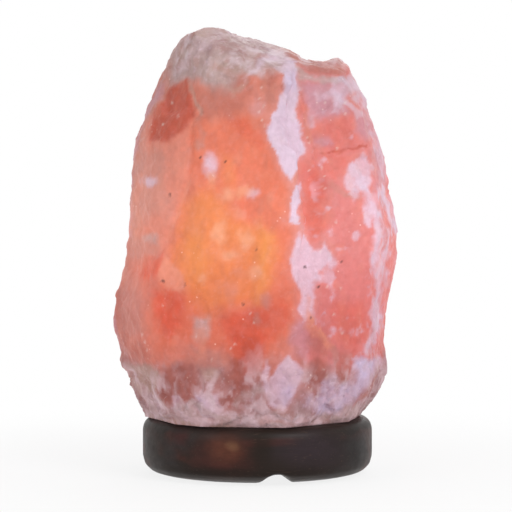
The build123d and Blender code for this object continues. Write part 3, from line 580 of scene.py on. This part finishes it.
def front_marks(tint, places, facing, camera):
    """Lays the marks of the photographed front over the pattern."""
    front = ramp(toward(places, facing, camera), -0.08, 0.12)
    sharp = seen_at(places, camera)
    pixels = sharp + swirl(places, 14, 5.5, 221)[:, :2] + swirl(places, 5, 3.0, 231)[:, :2]
    pixels += swirl(places, 2, 1.6, 236)[:, :2]
    grainy = [cloudy(places, size, 238 + size, 4) for size in (4, 5, 6)]
    for index, (colour, strength, soft, *outline) in enumerate(PATCHES):
        off = to_patch(pixels, pairs(outline))
        share = 1 - ramp(off, -1.3 * soft, soft)
        broken = grainy[index % 3] * share * (1 - share)
        if colour is LILAC:
            blend_in(tint, BLUSH, front * 0.45 * strength * (1 - ramp(off, -3, 11)))
            share = ramp(share + 2 * broken, 0.1, 0.9)
        elif soft < BROAD:
            share = np.clip(share + 1.2 * broken, 0, 1)
        blend_in(tint, colour, front * np.minimum(strength * share, 1))
    for colour, strength, *ellipse in BLOBS:
        off = to_blob(pixels, *ellipse)
        blend_in(tint, colour, front * strength * (1 - ramp(off + 0.6 * grainy[0], 0.1, 1.4)))
    broken = front * (0.45 + 0.55 * ramp(cloudy(places, 13, 237), -0.35, 0.2))
    for colour, strength, half_width, *path in STROKES:
        off = to_stroke(pixels, pairs(path)) * (1 + 0.8 * grainy[1])
        blend_in(tint, colour, broken * strength * (1 - ramp(off, 0.3 * half_width, 1.6 * half_width + 0.6)))
    # Painted cool light: lilac clouds over the right-hand face, right of the ridge.
    add_clouds(tint, places, (LILAC, 0.5 * front * ramp(sharp[:, 0], 290, 330), 7, 239, 0.2, 0.5, 4))
    dots = [(SPECK, 0.9, middle, 0.4 * radius, 0.9 * radius + 0.7) for middle, radius in SPECKS]
    # The glints are painted highlights.
    dots += [(GLINT, 0.45, middle, 0.4, 1.8) for middle in GLINTS]
    for colour, strength, middle, full, reach in dots:
        off = np.linalg.norm(sharp - middle, axis=1)
        blend_in(tint, colour, strength * front * (1 - ramp(off, full, reach)))


def frost(tint, places):
    """Fine pale scratches and crumbs, most of them on the pale salt, with painted shade between them. The crumbs'
    facets get painted light and painted shade, and the skin is painted lighter round BRIGHT_HEIGHT and darker low
    down.
    """
    rise = rise_of(places) + 0.06 * cloudy(places * (1, 1, 0.35), 12, 240)
    crumbled = np.maximum(1 - ramp(rise, 0.07, 0.2), 0.8 * ramp(rise, 0.84, 0.93))
    streaks = places * (1, 1, 0.55) + swirl(places, 12, 3 * MM, 241)
    paleness = ramp(tint[:, 2] / tint[:, 0], 0.3, 0.8)
    add_clouds(
        tint, streaks, (SHADE, 0.14 * (1 - 0.4 * paleness), 6, 251, 0.05, 0.45, 4),
        (SHADE, 0.6 * crumbled * (1 - 0.85 * paleness), 9, 252, 0.08, 0.26, 4),
        (PEACH, 0.16 * (1 - crumbled) * (1 - paleness), 5, 246, 0.05, 0.45, 4),
        (FROST, 0.25 * paleness, 5, 246, 0.05, 0.45, 4), (BRIGHT, 0.6 * crumbled, 7, 247, 0.12, 0.3, 4),
    )
    # Painted light and painted shade, facet by facet over the crumbs.
    facet_light_and_shade = np.clip(crumbs(places * (1, 1, 0.8), 4.5, 253), -1, 1)
    blend_in(tint, SHADE, (0.05 + 0.3 * crumbled) * np.maximum(-facet_light_and_shade, 0))
    blend_in(tint, FROST, (0.04 + 0.4 * crumbled) * np.maximum(facet_light_and_shade, 0))
    # Painted light: the skin is made lighter round BRIGHT_HEIGHT.
    lit = lit_round(places, BRIGHT_HEIGHT, BRIGHT_SPREAD)
    for light in (1 + 0.06 * noise(places, 1.7, 256), 0.82 + 0.25 * lit, 1 + 0.1 * cloudy(streaks, 10, 261, 4)):
        tint *= light[:, None]
    # Painted shade: the lower part of the rock is made darker.
    lower = 1 - ramp(places[:, 2], 86 * MM, 134 * MM)
    tint *= 1 - lower[:, None] * (0.02, 0.13, 0.12)
    return paleness


def colour_crystal(rock, camera):
    """Stores the salt's colour on each vertex, split into what it reflects and what it lets through from the bulb."""
    mesh = rock.data
    places, facing = vectors(mesh), vectors(mesh, "normal")
    tint = veined_salt(places)
    front_marks(tint, places, facing, camera)
    paleness = frost(tint, places)
    in_bore = np.hypot(places[:, 0], places[:, 1]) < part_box("holder_body")[1].x + BORE_SKIN
    in_bore &= places[:, 2] < GLOW_HEIGHT + 30 * MM
    # Painted light: the bore's wall is painted amber, as the bulb lights it.
    blend_in(tint, AMBER, 0.7 * in_bore)
    # Painted light: the share let through is the bulb's light, laid on the skin as emission in "glow".
    through = (0.12 + 0.48 * lit_round(places, GLOW_HEIGHT, GLOW_SPREAD)) * (1 - 0.5 * paleness)
    store_colour(mesh, "tint", tint * (1 - through)[:, None])
    store_colour(mesh, "glow", tint * through[:, None])
    store_colour(mesh, "paleness", np.repeat(paleness[:, None], 3, axis=1))


def store_colour(mesh, name, colours):
    layer = mesh.color_attributes.new(name, "FLOAT_COLOR", "POINT")
    full = np.concatenate([np.clip(colours, 0, 1), np.ones((len(colours), 1))], axis=1)
    layer.data.foreach_set("color", full.ravel())


# --- materials ---
class Surface:
    """A procedural material or world. Each node is added with its settings, and inputs that are values or outputs."""

    def __init__(self, name, kind=bpy.data.materials):
        self.owner = kind.new(name)
        self.owner.use_nodes = True
        self.tree = self.owner.node_tree
        self.tree.nodes.clear()

    def add(self, kind, inputs=None, **settings):
        node = self.tree.nodes.new("ShaderNode" + kind)
        for key, value in settings.items():
            setattr(node, key, value)
        for key, value in (inputs or {}).items():
            if isinstance(value, bpy.types.NodeSocket):
                self.tree.links.new(value, node.inputs[key])
            else:
                node.inputs[key].default_value = value
        return node

    def stored(self, layer):
        return self.add("VertexColor", layer_name=layer).outputs["Color"]

    def place(self):
        return self.add("TexCoord").outputs["Object"]

    def stretched(self, scale):
        return self.add("Mapping", {"Vector": self.place(), "Scale": scale}).outputs["Vector"]

    def noise(self, scale, detail=3.0, vector=None, rough=0.5):
        inputs = {"Vector": vector or self.place(), "Scale": scale, "Detail": detail, "Roughness": rough}
        return self.add("TexNoise", inputs).outputs["Fac"]

    def between(self, value, low, high, out_low=0.0, out_high=1.0, **settings):
        inputs = {"Value": value, "From Min": low, "From Max": high, "To Min": out_low, "To Max": out_high}
        return self.add("MapRange", inputs, **settings).outputs["Result"]

    def join(self, first, second, operation="MAXIMUM"):
        return self.add("Math", {0: first, 1: second}, operation=operation).outputs[0]

    def seen(self, rays):
        """1 for what the camera sees, in mirrors and through glass too, and 0 for what only takes light."""
        return self.join(rays["Is Camera Ray"], self.join(rays["Is Glossy Ray"], rays["Is Transmission Ray"]))

    def mix(self, share, first, second):
        return self.add("Mix", {"Factor": share, 6: first, 7: second}, data_type="RGBA").outputs[2]

    def mottled(self, value, low, high, most, colour, dark):
        """A colour that turns darker by up to this share where the value rises from low to high."""
        return self.mix(self.between(value, low, high, 0.0, most), rgba(colour), rgba(colour * dark))

    def bump(self, height, distance, strength, under=None):
        inputs = {"Height": height, "Distance": distance, "Strength": strength}
        if under:
            inputs["Normal"] = under
        return self.add("Bump", inputs).outputs["Normal"]

    def finish(self, **inputs):
        named = {key.replace("_", " "): value for key, value in inputs.items()}
        shader = self.add("BsdfPrincipled", named)
        self.add("OutputMaterial", {"Surface": shader.outputs["BSDF"]})
        return self.owner


def rgba(colour):
    return (*colour, 1.0)


def salt_material():
    salt = Surface("rock_salt")
    fine, pale = salt.noise(420, 4), salt.stored("paleness")
    frosting = salt.between(fine, 0.54, 0.74, 0.0, salt.between(pale, 0.0, 1.0, 0.05, 0.3))
    reflected = salt.mix(frosting, salt.stored("tint"), rgba(LILAC))
    # Painted sparkle: small highlights of GLINT scattered over the skin.
    crystals = salt.add("TexVoronoi", {"Vector": salt.place(), "Scale": 260.0, "Randomness": 1.0})
    spark = salt.between(crystals.outputs["Distance"], 0.16, 0.05)
    chosen = salt.between(salt.noise(60, 2), 0.58, 0.66)
    spark = salt.between(salt.join(spark, chosen, "MULTIPLY"), 0.0, 1.0, 0.0, 0.5)
    reflected = salt.mix(spark, reflected, rgba(GLINT))
    crisp = salt.between(pale, 0.0, 1.0, 0.5, 1.0)
    relief = salt.bump(salt.noise(140, 5, rough=0.65), 1.5 * MM, crisp)
    relief = salt.bump(salt.noise(1500, 2), 0.25 * MM, 0.5, relief)
    # The emission from "glow" is the bulb's light painted on the skin.
    return salt.finish(
        Base_Color=reflected, Roughness=salt.between(fine, 0.3, 0.7, 0.3, 0.62), Normal=relief,
        Emission_Color=salt.stored("glow"), Emission_Strength=1.0, IOR=1.54, Specular_IOR_Level=0.15,
    )


# Stain of the base and painted light on its front, in pixels: colour, strength, middle, half width, half height.
BASE_STAIN_AND_SHEEN = [
    # The light spot at (232, 446) is a painted highlight and the blue-grey patch at (312, 450) painted sheen.
    (srgb(48, 36, 31), 0.9, (150, 444), 18, 26), (srgb(82, 44, 38), 0.9, (222, 456), 34, 24),
    (srgb(112, 64, 48), 0.9, (226, 450), 18, 14), (srgb(150, 104, 76), 0.7, (232, 446), 7, 5),
    (srgb(78, 40, 38), 0.8, (180, 434), 9, 12), (srgb(64, 52, 58), 0.8, (312, 450), 44, 20),
    (srgb(44, 40, 40), 0.9, (360, 448), 18, 24), (srgb(42, 32, 26), 0.8, (262, 444), 12, 26),
    (srgb(40, 31, 26), 0.8, (200, 474), 60, 7), (srgb(46, 40, 38), 0.7, (196, 428), 40, 6),
]


def wood_material():
    wood = Surface("stained_wood")
    grain = wood.noise(26, 6, wood.stretched((0.35, 9.0, 9.0)), 0.6)
    pores = wood.noise(90, 3, wood.stretched((0.5, 14.0, 14.0)))
    dark = wood.mix(wood.between(grain, 0.35, 0.65, 0.0, 0.35), wood.stored("stain_and_sheen"), rgba(WOOD_LINE))
    dark = wood.mix(wood.between(pores, 0.62, 0.72, 0.0, 0.4), dark, rgba(WOOD_PORE))
    return wood.finish(
        Base_Color=dark, Roughness=wood.between(grain, 0.3, 0.7, 0.38, 0.52), Normal=wood.bump(pores, 0.08 * MM, 0.3),
        IOR=1.4, Specular_IOR_Level=0.2,
    )


# Moulded finishes by slot: colour, roughness, scale of the mottling, depth of the grain in millimetres.
MOULDED = {
    "foot_rubber": (srgb(38, 38, 39), 0.62, 220, 0.08),
    "plug_plastic": (srgb(150, 152, 154), 0.5, 300, 0.05),
    "holder_plastic": (srgb(34, 33, 34), 0.3, 260, 0.04),
    "block_ceramic": (srgb(226, 221, 206), 0.35, 180, 0.06),
    "black_insulator": (srgb(22, 22, 26), 0.12, 120, 0.03),
}
# Metals by slot: colour, roughness, how the fine lines are squeezed along each axis.
ROUND_Z, ROUND_Y = (1.0, 1.0, 8.0), (1.0, 9.0, 1.0)
METALS = {
    "screw_steel": (srgb(196, 188, 168), 0.3, ROUND_Z),
    "contact_brass": (srgb(206, 164, 86), 0.24, ROUND_Z),
    "spring_steel": (srgb(186, 187, 190), 0.22, ROUND_Y),
    "rivet_aluminium": (srgb(214, 214, 216), 0.3, ROUND_Z),
    "solder": (srgb(176, 177, 178), 0.35, ROUND_Z),
    "cap_nickel": (srgb(208, 204, 196), 0.22, ROUND_Z),
    "lead_wire": (srgb(170, 158, 142), 0.3, ROUND_Z),
}
GLASSES = {"bulb_glass": (0.98, 0.98, 0.97), "stem_glass": (0.93, 0.96, 0.95)}


def moulded(name, colour, rough, scale, depth):
    """A finish with fine mottling and grain, for plastic, rubber, ceramic and black glass."""
    made = Surface(name)
    spots = made.noise(scale, 3)
    return made.finish(
        Base_Color=made.mottled(spots, 0.3, 0.7, 0.3, colour, 0.72),
        Roughness=made.between(spots, 0.3, 0.7, rough, rough + 0.15),
        Normal=made.bump(made.noise(scale * 3, 2), depth * MM, 0.3),
    )


def metal(name, colour, rough, squeezed):
    """Drawn or rolled metal with fine lines."""
    made = Surface(name)
    lines = made.noise(700, 3, made.stretched(squeezed))
    return made.finish(
        Base_Color=made.mottled(made.noise(130, 3), 0.35, 0.7, 0.35, colour, 0.6), Metallic=1.0,
        Roughness=made.between(lines, 0.3, 0.7, rough, rough + 0.18), Normal=made.bump(lines, 0.02 * MM, 0.35),
    )


def glass(name, colour):
    made = Surface(name)
    tone = made.mottled(made.noise(45, 2), 0.4, 0.8, 0.3, np.array(colour), 0.94)
    waves = made.bump(made.noise(60, 2), 0.04 * MM, 0.15)
    return made.finish(Base_Color=tone, Roughness=0.02, Transmission_Weight=1.0, IOR=1.46, Normal=waves)


def glowing(name):
    made = Surface(name)
    light = made.mix(made.between(made.noise(900, 2), 0.3, 0.7), (1.0, 0.28, 0.05, 1), (1.0, 0.45, 0.1, 1))
    return made.finish(Base_Color=light, Emission_Color=light, Emission_Strength=1.0, Roughness=0.5)


def make_finishes():
    """The material of each slot of the small pieces."""
    made = {slot: moulded(slot, *looks) for slot, looks in MOULDED.items()}
    made |= {slot: metal(slot, *looks) for slot, looks in METALS.items()}
    made |= {slot: glass(slot, colour) for slot, colour in GLASSES.items()}
    return made | {"filament": glowing("filament_heat")}


FINISHES = make_finishes()

# --- stage ---
WORLD_LIGHT = 0.28
FLOOR_SIZE = 3.0
FLOOR_DROP = 0.2 * MM
FLOOR_FADE = (0.06, 0.34)  # distances between which the floor turns clear
FLOOR_CLEAR = (0.84, 1.0)  # how clear it is to the view, before and after
# Lamps: name, place, size, power, colour.
LAMPS = [
    ("key", (0.7, -1.4, 1.1), 0.8, 15.5, (1.0, 0.98, 0.98)),
    ("fill", (-1.4, -0.9, 0.7), 1.1, 7.0, (0.98, 0.98, 1.0)),
    ("top", (0.1, 0.3, 1.7), 1.2, 5.0, (0.97, 0.98, 1.0)),
    ("back", (0.4, 1.5, 0.9), 1.0, 5.0, (1.0, 1.0, 1.0)),
    ("under", (0.1, 0.5, -1.3), 1.0, 8.0, (1.0, 1.0, 1.0)),
]


def make_stage():
    """Pale floor, soft lamps and a world that shows white to the camera."""
    scene = bpy.context.scene
    scene.view_settings.view_transform = "Standard"
    world = Surface("studio", bpy.data.worlds)
    scene.world = world.owner
    level = world.between(world.seen(world.add("LightPath").outputs), 0.0, 1.0, WORLD_LIGHT, 1.0)
    background = world.add("Background", {"Color": (1, 1, 1, 1), "Strength": level})
    world.add("OutputWorld", {"Surface": background.outputs[0]})
    for name, place, size, power, colour in LAMPS:
        data = bpy.data.lights.new(name, "AREA")
        data.size, data.energy, data.color = size, power, colour
        made = put(name, data)
        made.location = place
        made.rotation_mode = "QUATERNION"
        made.rotation_quaternion = (Vector(place) - Vector((0, 0, 0.1))).to_track_quat("Z", "Y")
    floor()


def floor():
    """A wide sheet just under the feet that takes the lamp's shadow.

    Most of the view passes it to the white world behind, so what slides out under the lamp shows in the poses. From
    below it is clear, and so it is to the lamp that lights the underside.
    """
    mesh = bpy.data.meshes.new("floor")
    builder = bmesh.new()
    bmesh.ops.create_grid(builder, x_segments=8, y_segments=8, size=FLOOR_SIZE)
    builder.to_mesh(mesh)
    builder.free()
    made = put("floor", mesh)
    made.location.z = -FLOOR_DROP
    paper = Surface("floor_paper")
    mottle = paper.mix(paper.noise(2.0), (0.9, 0.9, 0.9, 1), (0.94, 0.94, 0.94, 1))
    shader = paper.add("BsdfPrincipled", {"Base Color": mottle, "Roughness": 0.9, "Specular IOR Level": 0.1})
    rays = paper.add("LightPath").outputs
    distance = paper.add("VectorMath", {0: paper.place()}, operation="LENGTH").outputs["Value"]
    white = paper.between(distance, *FLOOR_FADE, *FLOOR_CLEAR, interpolation_type="SMOOTHSTEP")
    share = paper.join(paper.seen(rays), white, "MULTIPLY")
    clear = paper.add("BsdfTransparent").outputs[0]
    shown = paper.add("MixShader", {0: share, 1: shader.outputs[0], 2: clear})
    open_to = paper.join(paper.add("NewGeometry").outputs["Backfacing"], rays["Is Shadow Ray"])
    both = paper.add("MixShader", {0: open_to, 1: shown.outputs[0], 2: clear})
    paper.add("OutputMaterial", {"Surface": both.outputs[0]})
    mesh.materials.append(paper.owner)


# --- the rock and the base ---
BASE_VOXEL = 0.9 * MM
STAIN_LEVEL = 0.8


def stand_in(made, body, node, material):
    """Gives a piece its material and its body, in the place of its CAD node."""
    made.data.materials.clear()
    made.data.materials.append(material)
    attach(made, body)
    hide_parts(node)


def dress_crystal(camera):
    rock = mesh_of("crystal_rock", "salt_crystal", VOXEL)
    carve_crystal(rock, camera)
    colour_crystal(rock, camera)
    stand_in(rock, "lamp", "salt_crystal", salt_material())


def dress_base(camera):
    base = mesh_of("turned_base", "wood_base", BASE_VOXEL)
    relax(base.data, 3, np.zeros(len(base.data.vertices)))
    places, facing = vectors(base.data), vectors(base.data, "normal")
    stain_and_sheen = np.tile(WOOD, (len(places), 1))
    streaks = places * (0.25, 1, 1.6)
    add_clouds(stain_and_sheen, streaks, (WOOD_RED, 0.75, 12, 301, 0.1, 0.5), (WOOD_GREY, 0.7, 16, 311, 0.1, 0.5))
    front = ramp(toward(places, facing, camera), 0.1, 0.4)
    pixels = seen_at(places, camera) + swirl(places, 10, 3.0, 321)[:, :2]
    # Stains, with a painted highlight and painted sheen among them, on the front.
    for colour, strength, *ellipse in BASE_STAIN_AND_SHEEN:
        blend_in(stain_and_sheen, colour, front * strength * (1 - ramp(to_blob(pixels, *ellipse), 0.2, 1.4)))
    store_colour(base.data, "stain_and_sheen", STAIN_LEVEL * stain_and_sheen)
    stand_in(base, "lamp", "wood_base", wood_material())


# --- shapes for the small pieces, in millimetres ---
EDGE_ANGLE = 35  # of the CAD shapes' edges that are rounded
WELD = 1e-6
MERGE = 1e-7


def new_piece(name, body, node, slot, mesh):
    mesh.name = name
    made = put(name, mesh)
    stand_in(made, body, node, FINISHES[slot])
    return made


def shade_by_angle(mesh, degrees):
    """Smooth shading, with edges above this angle left sharp."""
    mesh.shade_smooth()
    mesh.set_sharp_from_angle(angle=math.radians(degrees))


def mesh_from(points, faces, sharp=None):
    """A mesh from points in metres, shaded with edges sharp above this angle."""
    mesh = bpy.data.meshes.new("shape")
    mesh.from_pydata([tuple(point) for point in points], [], faces)
    builder = bmesh.new()
    builder.from_mesh(mesh)
    bmesh.ops.remove_doubles(builder, verts=builder.verts, dist=MERGE)
    bmesh.ops.dissolve_degenerate(builder, edges=builder.edges, dist=MERGE)
    bmesh.ops.recalc_face_normals(builder, faces=builder.faces)
    builder.to_mesh(mesh)
    builder.free()
    if sharp:
        shade_by_angle(mesh, sharp)
    return mesh


def ring_faces(rings, sides, strips):
    """Faces of the strips between rings of points. The strip after the last ring leads back to the first."""
    return [
        (ring * sides + side, ring * sides + (side + 1) % sides, (ring + 1) % rings * sides + (side + 1) % sides,
         (ring + 1) % rings * sides + side)
        for ring in range(strips) for side in range(sides)
    ]


def turned(section, sides, sharp, shape=None):
    """A closed section of (radius, height) turned about Z. shape gives each point's own radius."""
    radius, height = (np.repeat(np.array(column)[:, None], sides, axis=1) for column in zip(*section))
    angle = np.broadcast_to(np.arange(sides) * 2 * math.pi / sides, radius.shape)
    if shape:
        radius = shape(radius, angle, height)
    points = np.stack([radius * np.cos(angle), radius * np.sin(angle), height], axis=2).reshape(-1, 3) * MM
    return mesh_from(points, ring_faces(len(section), sides, len(section)), sharp)


def arc(middle, radius, first, last, count):
    """Points of a section along an arc, in millimetres and degrees."""
    turns = np.radians(np.linspace(first, last, count + 1))
    return [(middle[0] + radius * math.cos(turn), middle[1] + radius * math.sin(turn)) for turn in turns]


def upright(radius, low, high, step):
    """Points of a section at one radius, from low to high."""
    return [(radius, height) for height in np.linspace(low, high, max(2, round(abs(high - low) / step) + 1))]


def tube(path, radius, sides, sharp):
    """A round wire along a path, with closed ends."""
    along = np.gradient(path, axis=0)
    along /= np.linalg.norm(along, axis=1)[:, None]
    across = np.cross(along, (0.31, 0.87, 0.37))
    across /= np.linalg.norm(across, axis=1)[:, None]
    turns = (np.arange(sides) * 2 * math.pi / sides)[:, None]
    outward = np.cos(turns) * across[:, None] + np.sin(turns) * np.cross(along, across)[:, None]
    points = (path[:, None] + radius * outward).reshape(-1, 3) * MM
    faces = ring_faces(len(path), sides, len(path) - 1)
    faces += [tuple(range(sides)), tuple(range((len(path) - 1) * sides, len(path) * sides))]
    return mesh_from(points, faces, sharp)


def in_mm(node):
    low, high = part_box(node)
    return np.array(low) / MM, np.array(high) / MM


def extent(node):
    """Bottom, top and outer radius of a round CAD node."""
    low, high = in_mm(node)
    return low[2], high[2], high[0]


def block(middle, size, turn=0.0):
    """Corners and faces of a cutter, in metres."""
    corners = np.array(list(np.ndindex(2, 2, 2))) - 0.5
    spin = np.array([(math.cos(turn), math.sin(turn), 0), (-math.sin(turn), math.cos(turn), 0), (0, 0, 1)])
    faces = [(0, 1, 3, 2), (4, 6, 7, 5), (0, 4, 5, 1), (2, 3, 7, 6), (0, 2, 6, 4), (1, 5, 7, 3)]
    return (corners * size @ spin + middle) * MM, faces


def softened(name, body, node, slot, width, cuts=()):
    """A CAD node's shape with its slots cut and its edges rounded, to stand in for the node."""
    builder = bmesh.new()
    builder.from_mesh(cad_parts[node].data)
    bmesh.ops.remove_doubles(builder, verts=builder.verts, dist=WELD)
    bmesh.ops.dissolve_limit(builder, angle_limit=math.radians(0.5), verts=builder.verts, edges=builder.edges)
    mesh = bpy.data.meshes.new("shape")
    builder.to_mesh(mesh)
    builder.free()
    made = new_piece(name, body, node, slot, mesh)
    cutters = [put("cutter", mesh_from(*cut)) for cut in cuts]
    for cutter in cutters:
        cut = made.modifiers.new("slot", "BOOLEAN")
        cut.object, cut.operation, cut.solver = cutter, "DIFFERENCE", "EXACT"
    edge = made.modifiers.new("round edges", "BEVEL")
    edge.width, edge.segments, edge.limit_method = width * MM, 2, "ANGLE"
    edge.angle_limit = math.radians(EDGE_ANGLE)
    graph = bpy.context.evaluated_depsgraph_get()
    shaped = bpy.data.meshes.new_from_object(made.evaluated_get(graph))
    made.modifiers.clear()
    made.data = shaped
    shade_by_angle(shaped, EDGE_ANGLE)
    for cutter in cutters:
        bpy.data.objects.remove(cutter)


# --- fixings, lampholder and bulb, in millimetres ---
SCREW_CIRCLE, SCREW_TURNS = 34, (90, 210, 330)
BASE_SLOT, CLAMP_SLOT = (1.1, 9.0, 1.8), (0.6, 1.2, 5.0)
INLET_RADIUS = 3.6
KNOB_WALL, KNOB_FLOOR, KNOB_ROUND, KNOB_EDGE = 1.6, 2.4, 1.5, 50
RIBS, RIB_DEPTH, RIB_SIDES = 36, 0.32, 288
PITCH, THREAD_STEP, THREAD_SIDES, THREAD_EDGE = 2.822, 0.25, 72, 60
SHELL_RADIUS, SHELL_SHEET, SHELL_BULGE = 7.0, 0.4, 0.2
CAP_SHEET, CAP_PRESS, CAP_ROUND = 0.3, -0.22, 0.8
NECK_RADIUS, GLASS_WALL, SHOULDER_RISE, GLASS_SIDES, GLASS_EDGE = 6.1, 0.6, 4.5, 96, 50
COIL_TURNS, COIL_POINTS, COIL_RADIUS = 26, 900, 0.24
WIRE_RADIUS, WIRE_SIDES, WIRE_EDGE = 0.11, 6, 60


def screw_cuts():
    """The slots of the screws' heads, by piece."""
    underside = in_mm("crystal_screws")[0][2]
    turns = [math.radians(turn) for turn in SCREW_TURNS]
    places = [(SCREW_CIRCLE * math.cos(turn), SCREW_CIRCLE * math.sin(turn), underside) for turn in turns]
    low, high = in_mm("terminal_screws")
    middle = (low[2] + high[2]) / 2
    return {
        "base_screws": [block(place, BASE_SLOT, 0.5 + index) for index, place in enumerate(places)],
        "clamp_screws": [block((side * (high[0] - 2), low[1], middle), CLAMP_SLOT) for side in (-1, 1)],
    }


def threaded(start, full, fading, end, bulge):
    """Radius of rolled sheet that follows the lamp thread between these heights. It bulges out, or in if below 0."""
    def shape(radius, angle, height):
        share = ramp(height, start, full) * (1 - ramp(height, fading, end))
        return radius + bulge * share * (1 + np.sign(bulge) * np.cos(angle - 2 * math.pi * height / PITCH))
    return shape


def knob(node):
    """The lampholder's lower cap, with a groove under its rim and ribs for the fingers."""
    bottom, top, outer = extent(node)
    wall, inside = outer - KNOB_WALL, bottom + KNOB_FLOOR
    section = [(INLET_RADIUS + 0.5, bottom), *arc((outer - KNOB_ROUND, bottom + KNOB_ROUND), KNOB_ROUND, -90, 0, 6)]
    section += upright(outer, bottom + 2, top - 2.4, 1.0)
    section += [(outer - 0.5, top - 2.2), (outer - 0.5, top - 1.6), (outer, top - 1.4), (outer, top - 0.2),
                (outer - 0.2, top), (wall, top), (wall, inside + 0.6), (wall - 0.6, inside), (INLET_RADIUS, inside),
                (INLET_RADIUS, bottom + 0.5)]

    def ribbed(radius, angle, height):
        share = ramp(height, bottom + 2.4, bottom + 4) * (1 - ramp(height, top - 4, top - 2.8)) * (radius > wall + 1)
        return radius - RIB_DEPTH * share * (0.5 + 0.5 * np.cos(RIBS * angle)) ** 2

    return turned(section, RIB_SIDES, KNOB_EDGE, ribbed)


def shell(node):
    """The socket's threaded shell, with its flange."""
    bottom, top, flange = extent(node)
    section = [(SHELL_RADIUS, bottom), (flange - 0.1, bottom), (flange, bottom + 0.2), (flange - 0.1, bottom + 0.4)]
    section += upright(SHELL_RADIUS + SHELL_SHEET, bottom + 0.5, top - 0.1, THREAD_STEP) + [(SHELL_RADIUS + 0.2, top)]
    section += upright(SHELL_RADIUS, top - 0.1, bottom + 0.3, THREAD_STEP)
    rolled = threaded(bottom + 0.8, bottom + 2.2, top - 2.2, top - 1.0, SHELL_BULGE)
    return turned(section, THREAD_SIDES, THREAD_EDGE, rolled)


def screw_cap(node):
    """The bulb's cap of thin sheet, with its thread pressed in."""
    bottom, top, outer = extent(node)
    inner = outer - CAP_SHEET
    section = [(outer - 1.5, bottom), *arc((outer - CAP_ROUND, bottom + CAP_ROUND), CAP_ROUND, -90, 0, 5)]
    section += upright(outer, bottom + 0.9, top - 0.1, THREAD_STEP) + [(inner + 0.1, top)]
    section += upright(inner, top - 0.1, bottom + 0.8, THREAD_STEP) + [(outer - 1.5, bottom + 0.3)]
    pressed = threaded(bottom + 1.2, bottom + 2.4, top - 3.2, top - 2.0, CAP_PRESS)
    return turned(section, THREAD_SIDES, THREAD_EDGE, pressed)


def envelope(node):
    """The tubular glass: a neck in the cap, a shoulder and a round crown."""
    bottom, top, outer = extent(node)
    shoulder = extent("bulb_cap")[1] + 0.5

    def wall_line(inset):
        slope = [(NECK_RADIUS - inset + (outer - NECK_RADIUS) * ramp(share, 0, 1), shoulder + share * SHOULDER_RISE)
                 for share in np.linspace(0, 1, 9)]
        return [(NECK_RADIUS - inset, bottom), (NECK_RADIUS - inset, shoulder - 0.5), *slope,
                *arc((0, top - outer), outer - inset, 0, 90, 18)]

    return turned([*wall_line(0), *reversed(wall_line(GLASS_WALL))], GLASS_SIDES, GLASS_EDGE)


def coiled_wire(node):
    """The filament, which rises from the leads to a level middle part."""
    bottom, top, outer = extent(node)
    end, rise, base_line = outer - 0.1, top - bottom - 0.7, bottom + 0.35
    share = np.linspace(-1, 1, COIL_POINTS)
    centre = np.stack([share * end, 0 * share, base_line + rise * ramp(1 - np.abs(share), 0, 0.75)], axis=1)
    turn = share * COIL_TURNS * 2 * math.pi
    coil = centre + COIL_RADIUS * np.stack([0 * turn, np.cos(turn), np.sin(turn)], axis=1)
    return tube(coil, WIRE_RADIUS, WIRE_SIDES, WIRE_EDGE)


# The small pieces by body: name, CAD node, slot, and the function for the shape. Where the CAD shape is kept, a number
# gives the width of its rounded edges instead.
PIECES = {
    "lamp": [
        *((f"foot_{number}", f"rubber_foot_{number}", "foot_rubber", 0.6) for number in range(1, 5)),
        ("base_screws", "crystal_screws", "screw_steel", 0.35),
        ("wall_plugs", "crystal_plugs", "plug_plastic", 0.3),
    ],
    "lampholder": [
        ("holder_knob", "holder_cap", "holder_plastic", knob),
        ("holder_barrel", "holder_body", "holder_plastic", 0.25),
        ("ceramic_block", "contact_block", "block_ceramic", 0.2),
        ("socket_thread", "thread_shell", "contact_brass", shell),
        ("contact_leaf", "centre_contact", "contact_brass", 0.08),
        ("terminal_live", "live_terminal", "contact_brass", 0.3),
        ("terminal_neutral", "neutral_terminal", "contact_brass", 0.3),
        ("clamp_screws", "terminal_screws", "screw_steel", 0.15),
        ("spring_left", "clip_left", "spring_steel", 0.08),
        ("spring_right", "clip_right", "spring_steel", 0.08),
        ("rivets", "clip_rivets", "rivet_aluminium", 0.25),
    ],
    "bulb_tip": [("solder_tip", "bulb_contact", "solder", 0.4)],
    "bulb": [
        ("black_glass", "bulb_insulator", "black_insulator", 0.2),
        ("bulb_thread", "bulb_cap", "cap_nickel", screw_cap),
        ("glass_envelope", "bulb_glass", "bulb_glass", envelope),
        ("glass_stem", "bulb_stem", "stem_glass", 0.3),
        ("support_leads", "bulb_leads", "lead_wire", 0.05),
        ("filament_coil", "filament", "filament", coiled_wire),
    ],
}


def main():
    camera = make_camera()
    make_stage()
    dress_crystal(camera)
    dress_base(camera)
    cuts = screw_cuts()
    for body, rows in PIECES.items():
        for name, node, slot, shape in rows:
            if callable(shape):
                new_piece(name, body, node, slot, shape(node))
            else:
                softened(name, body, node, slot, shape, cuts.get(name, ()))


main()
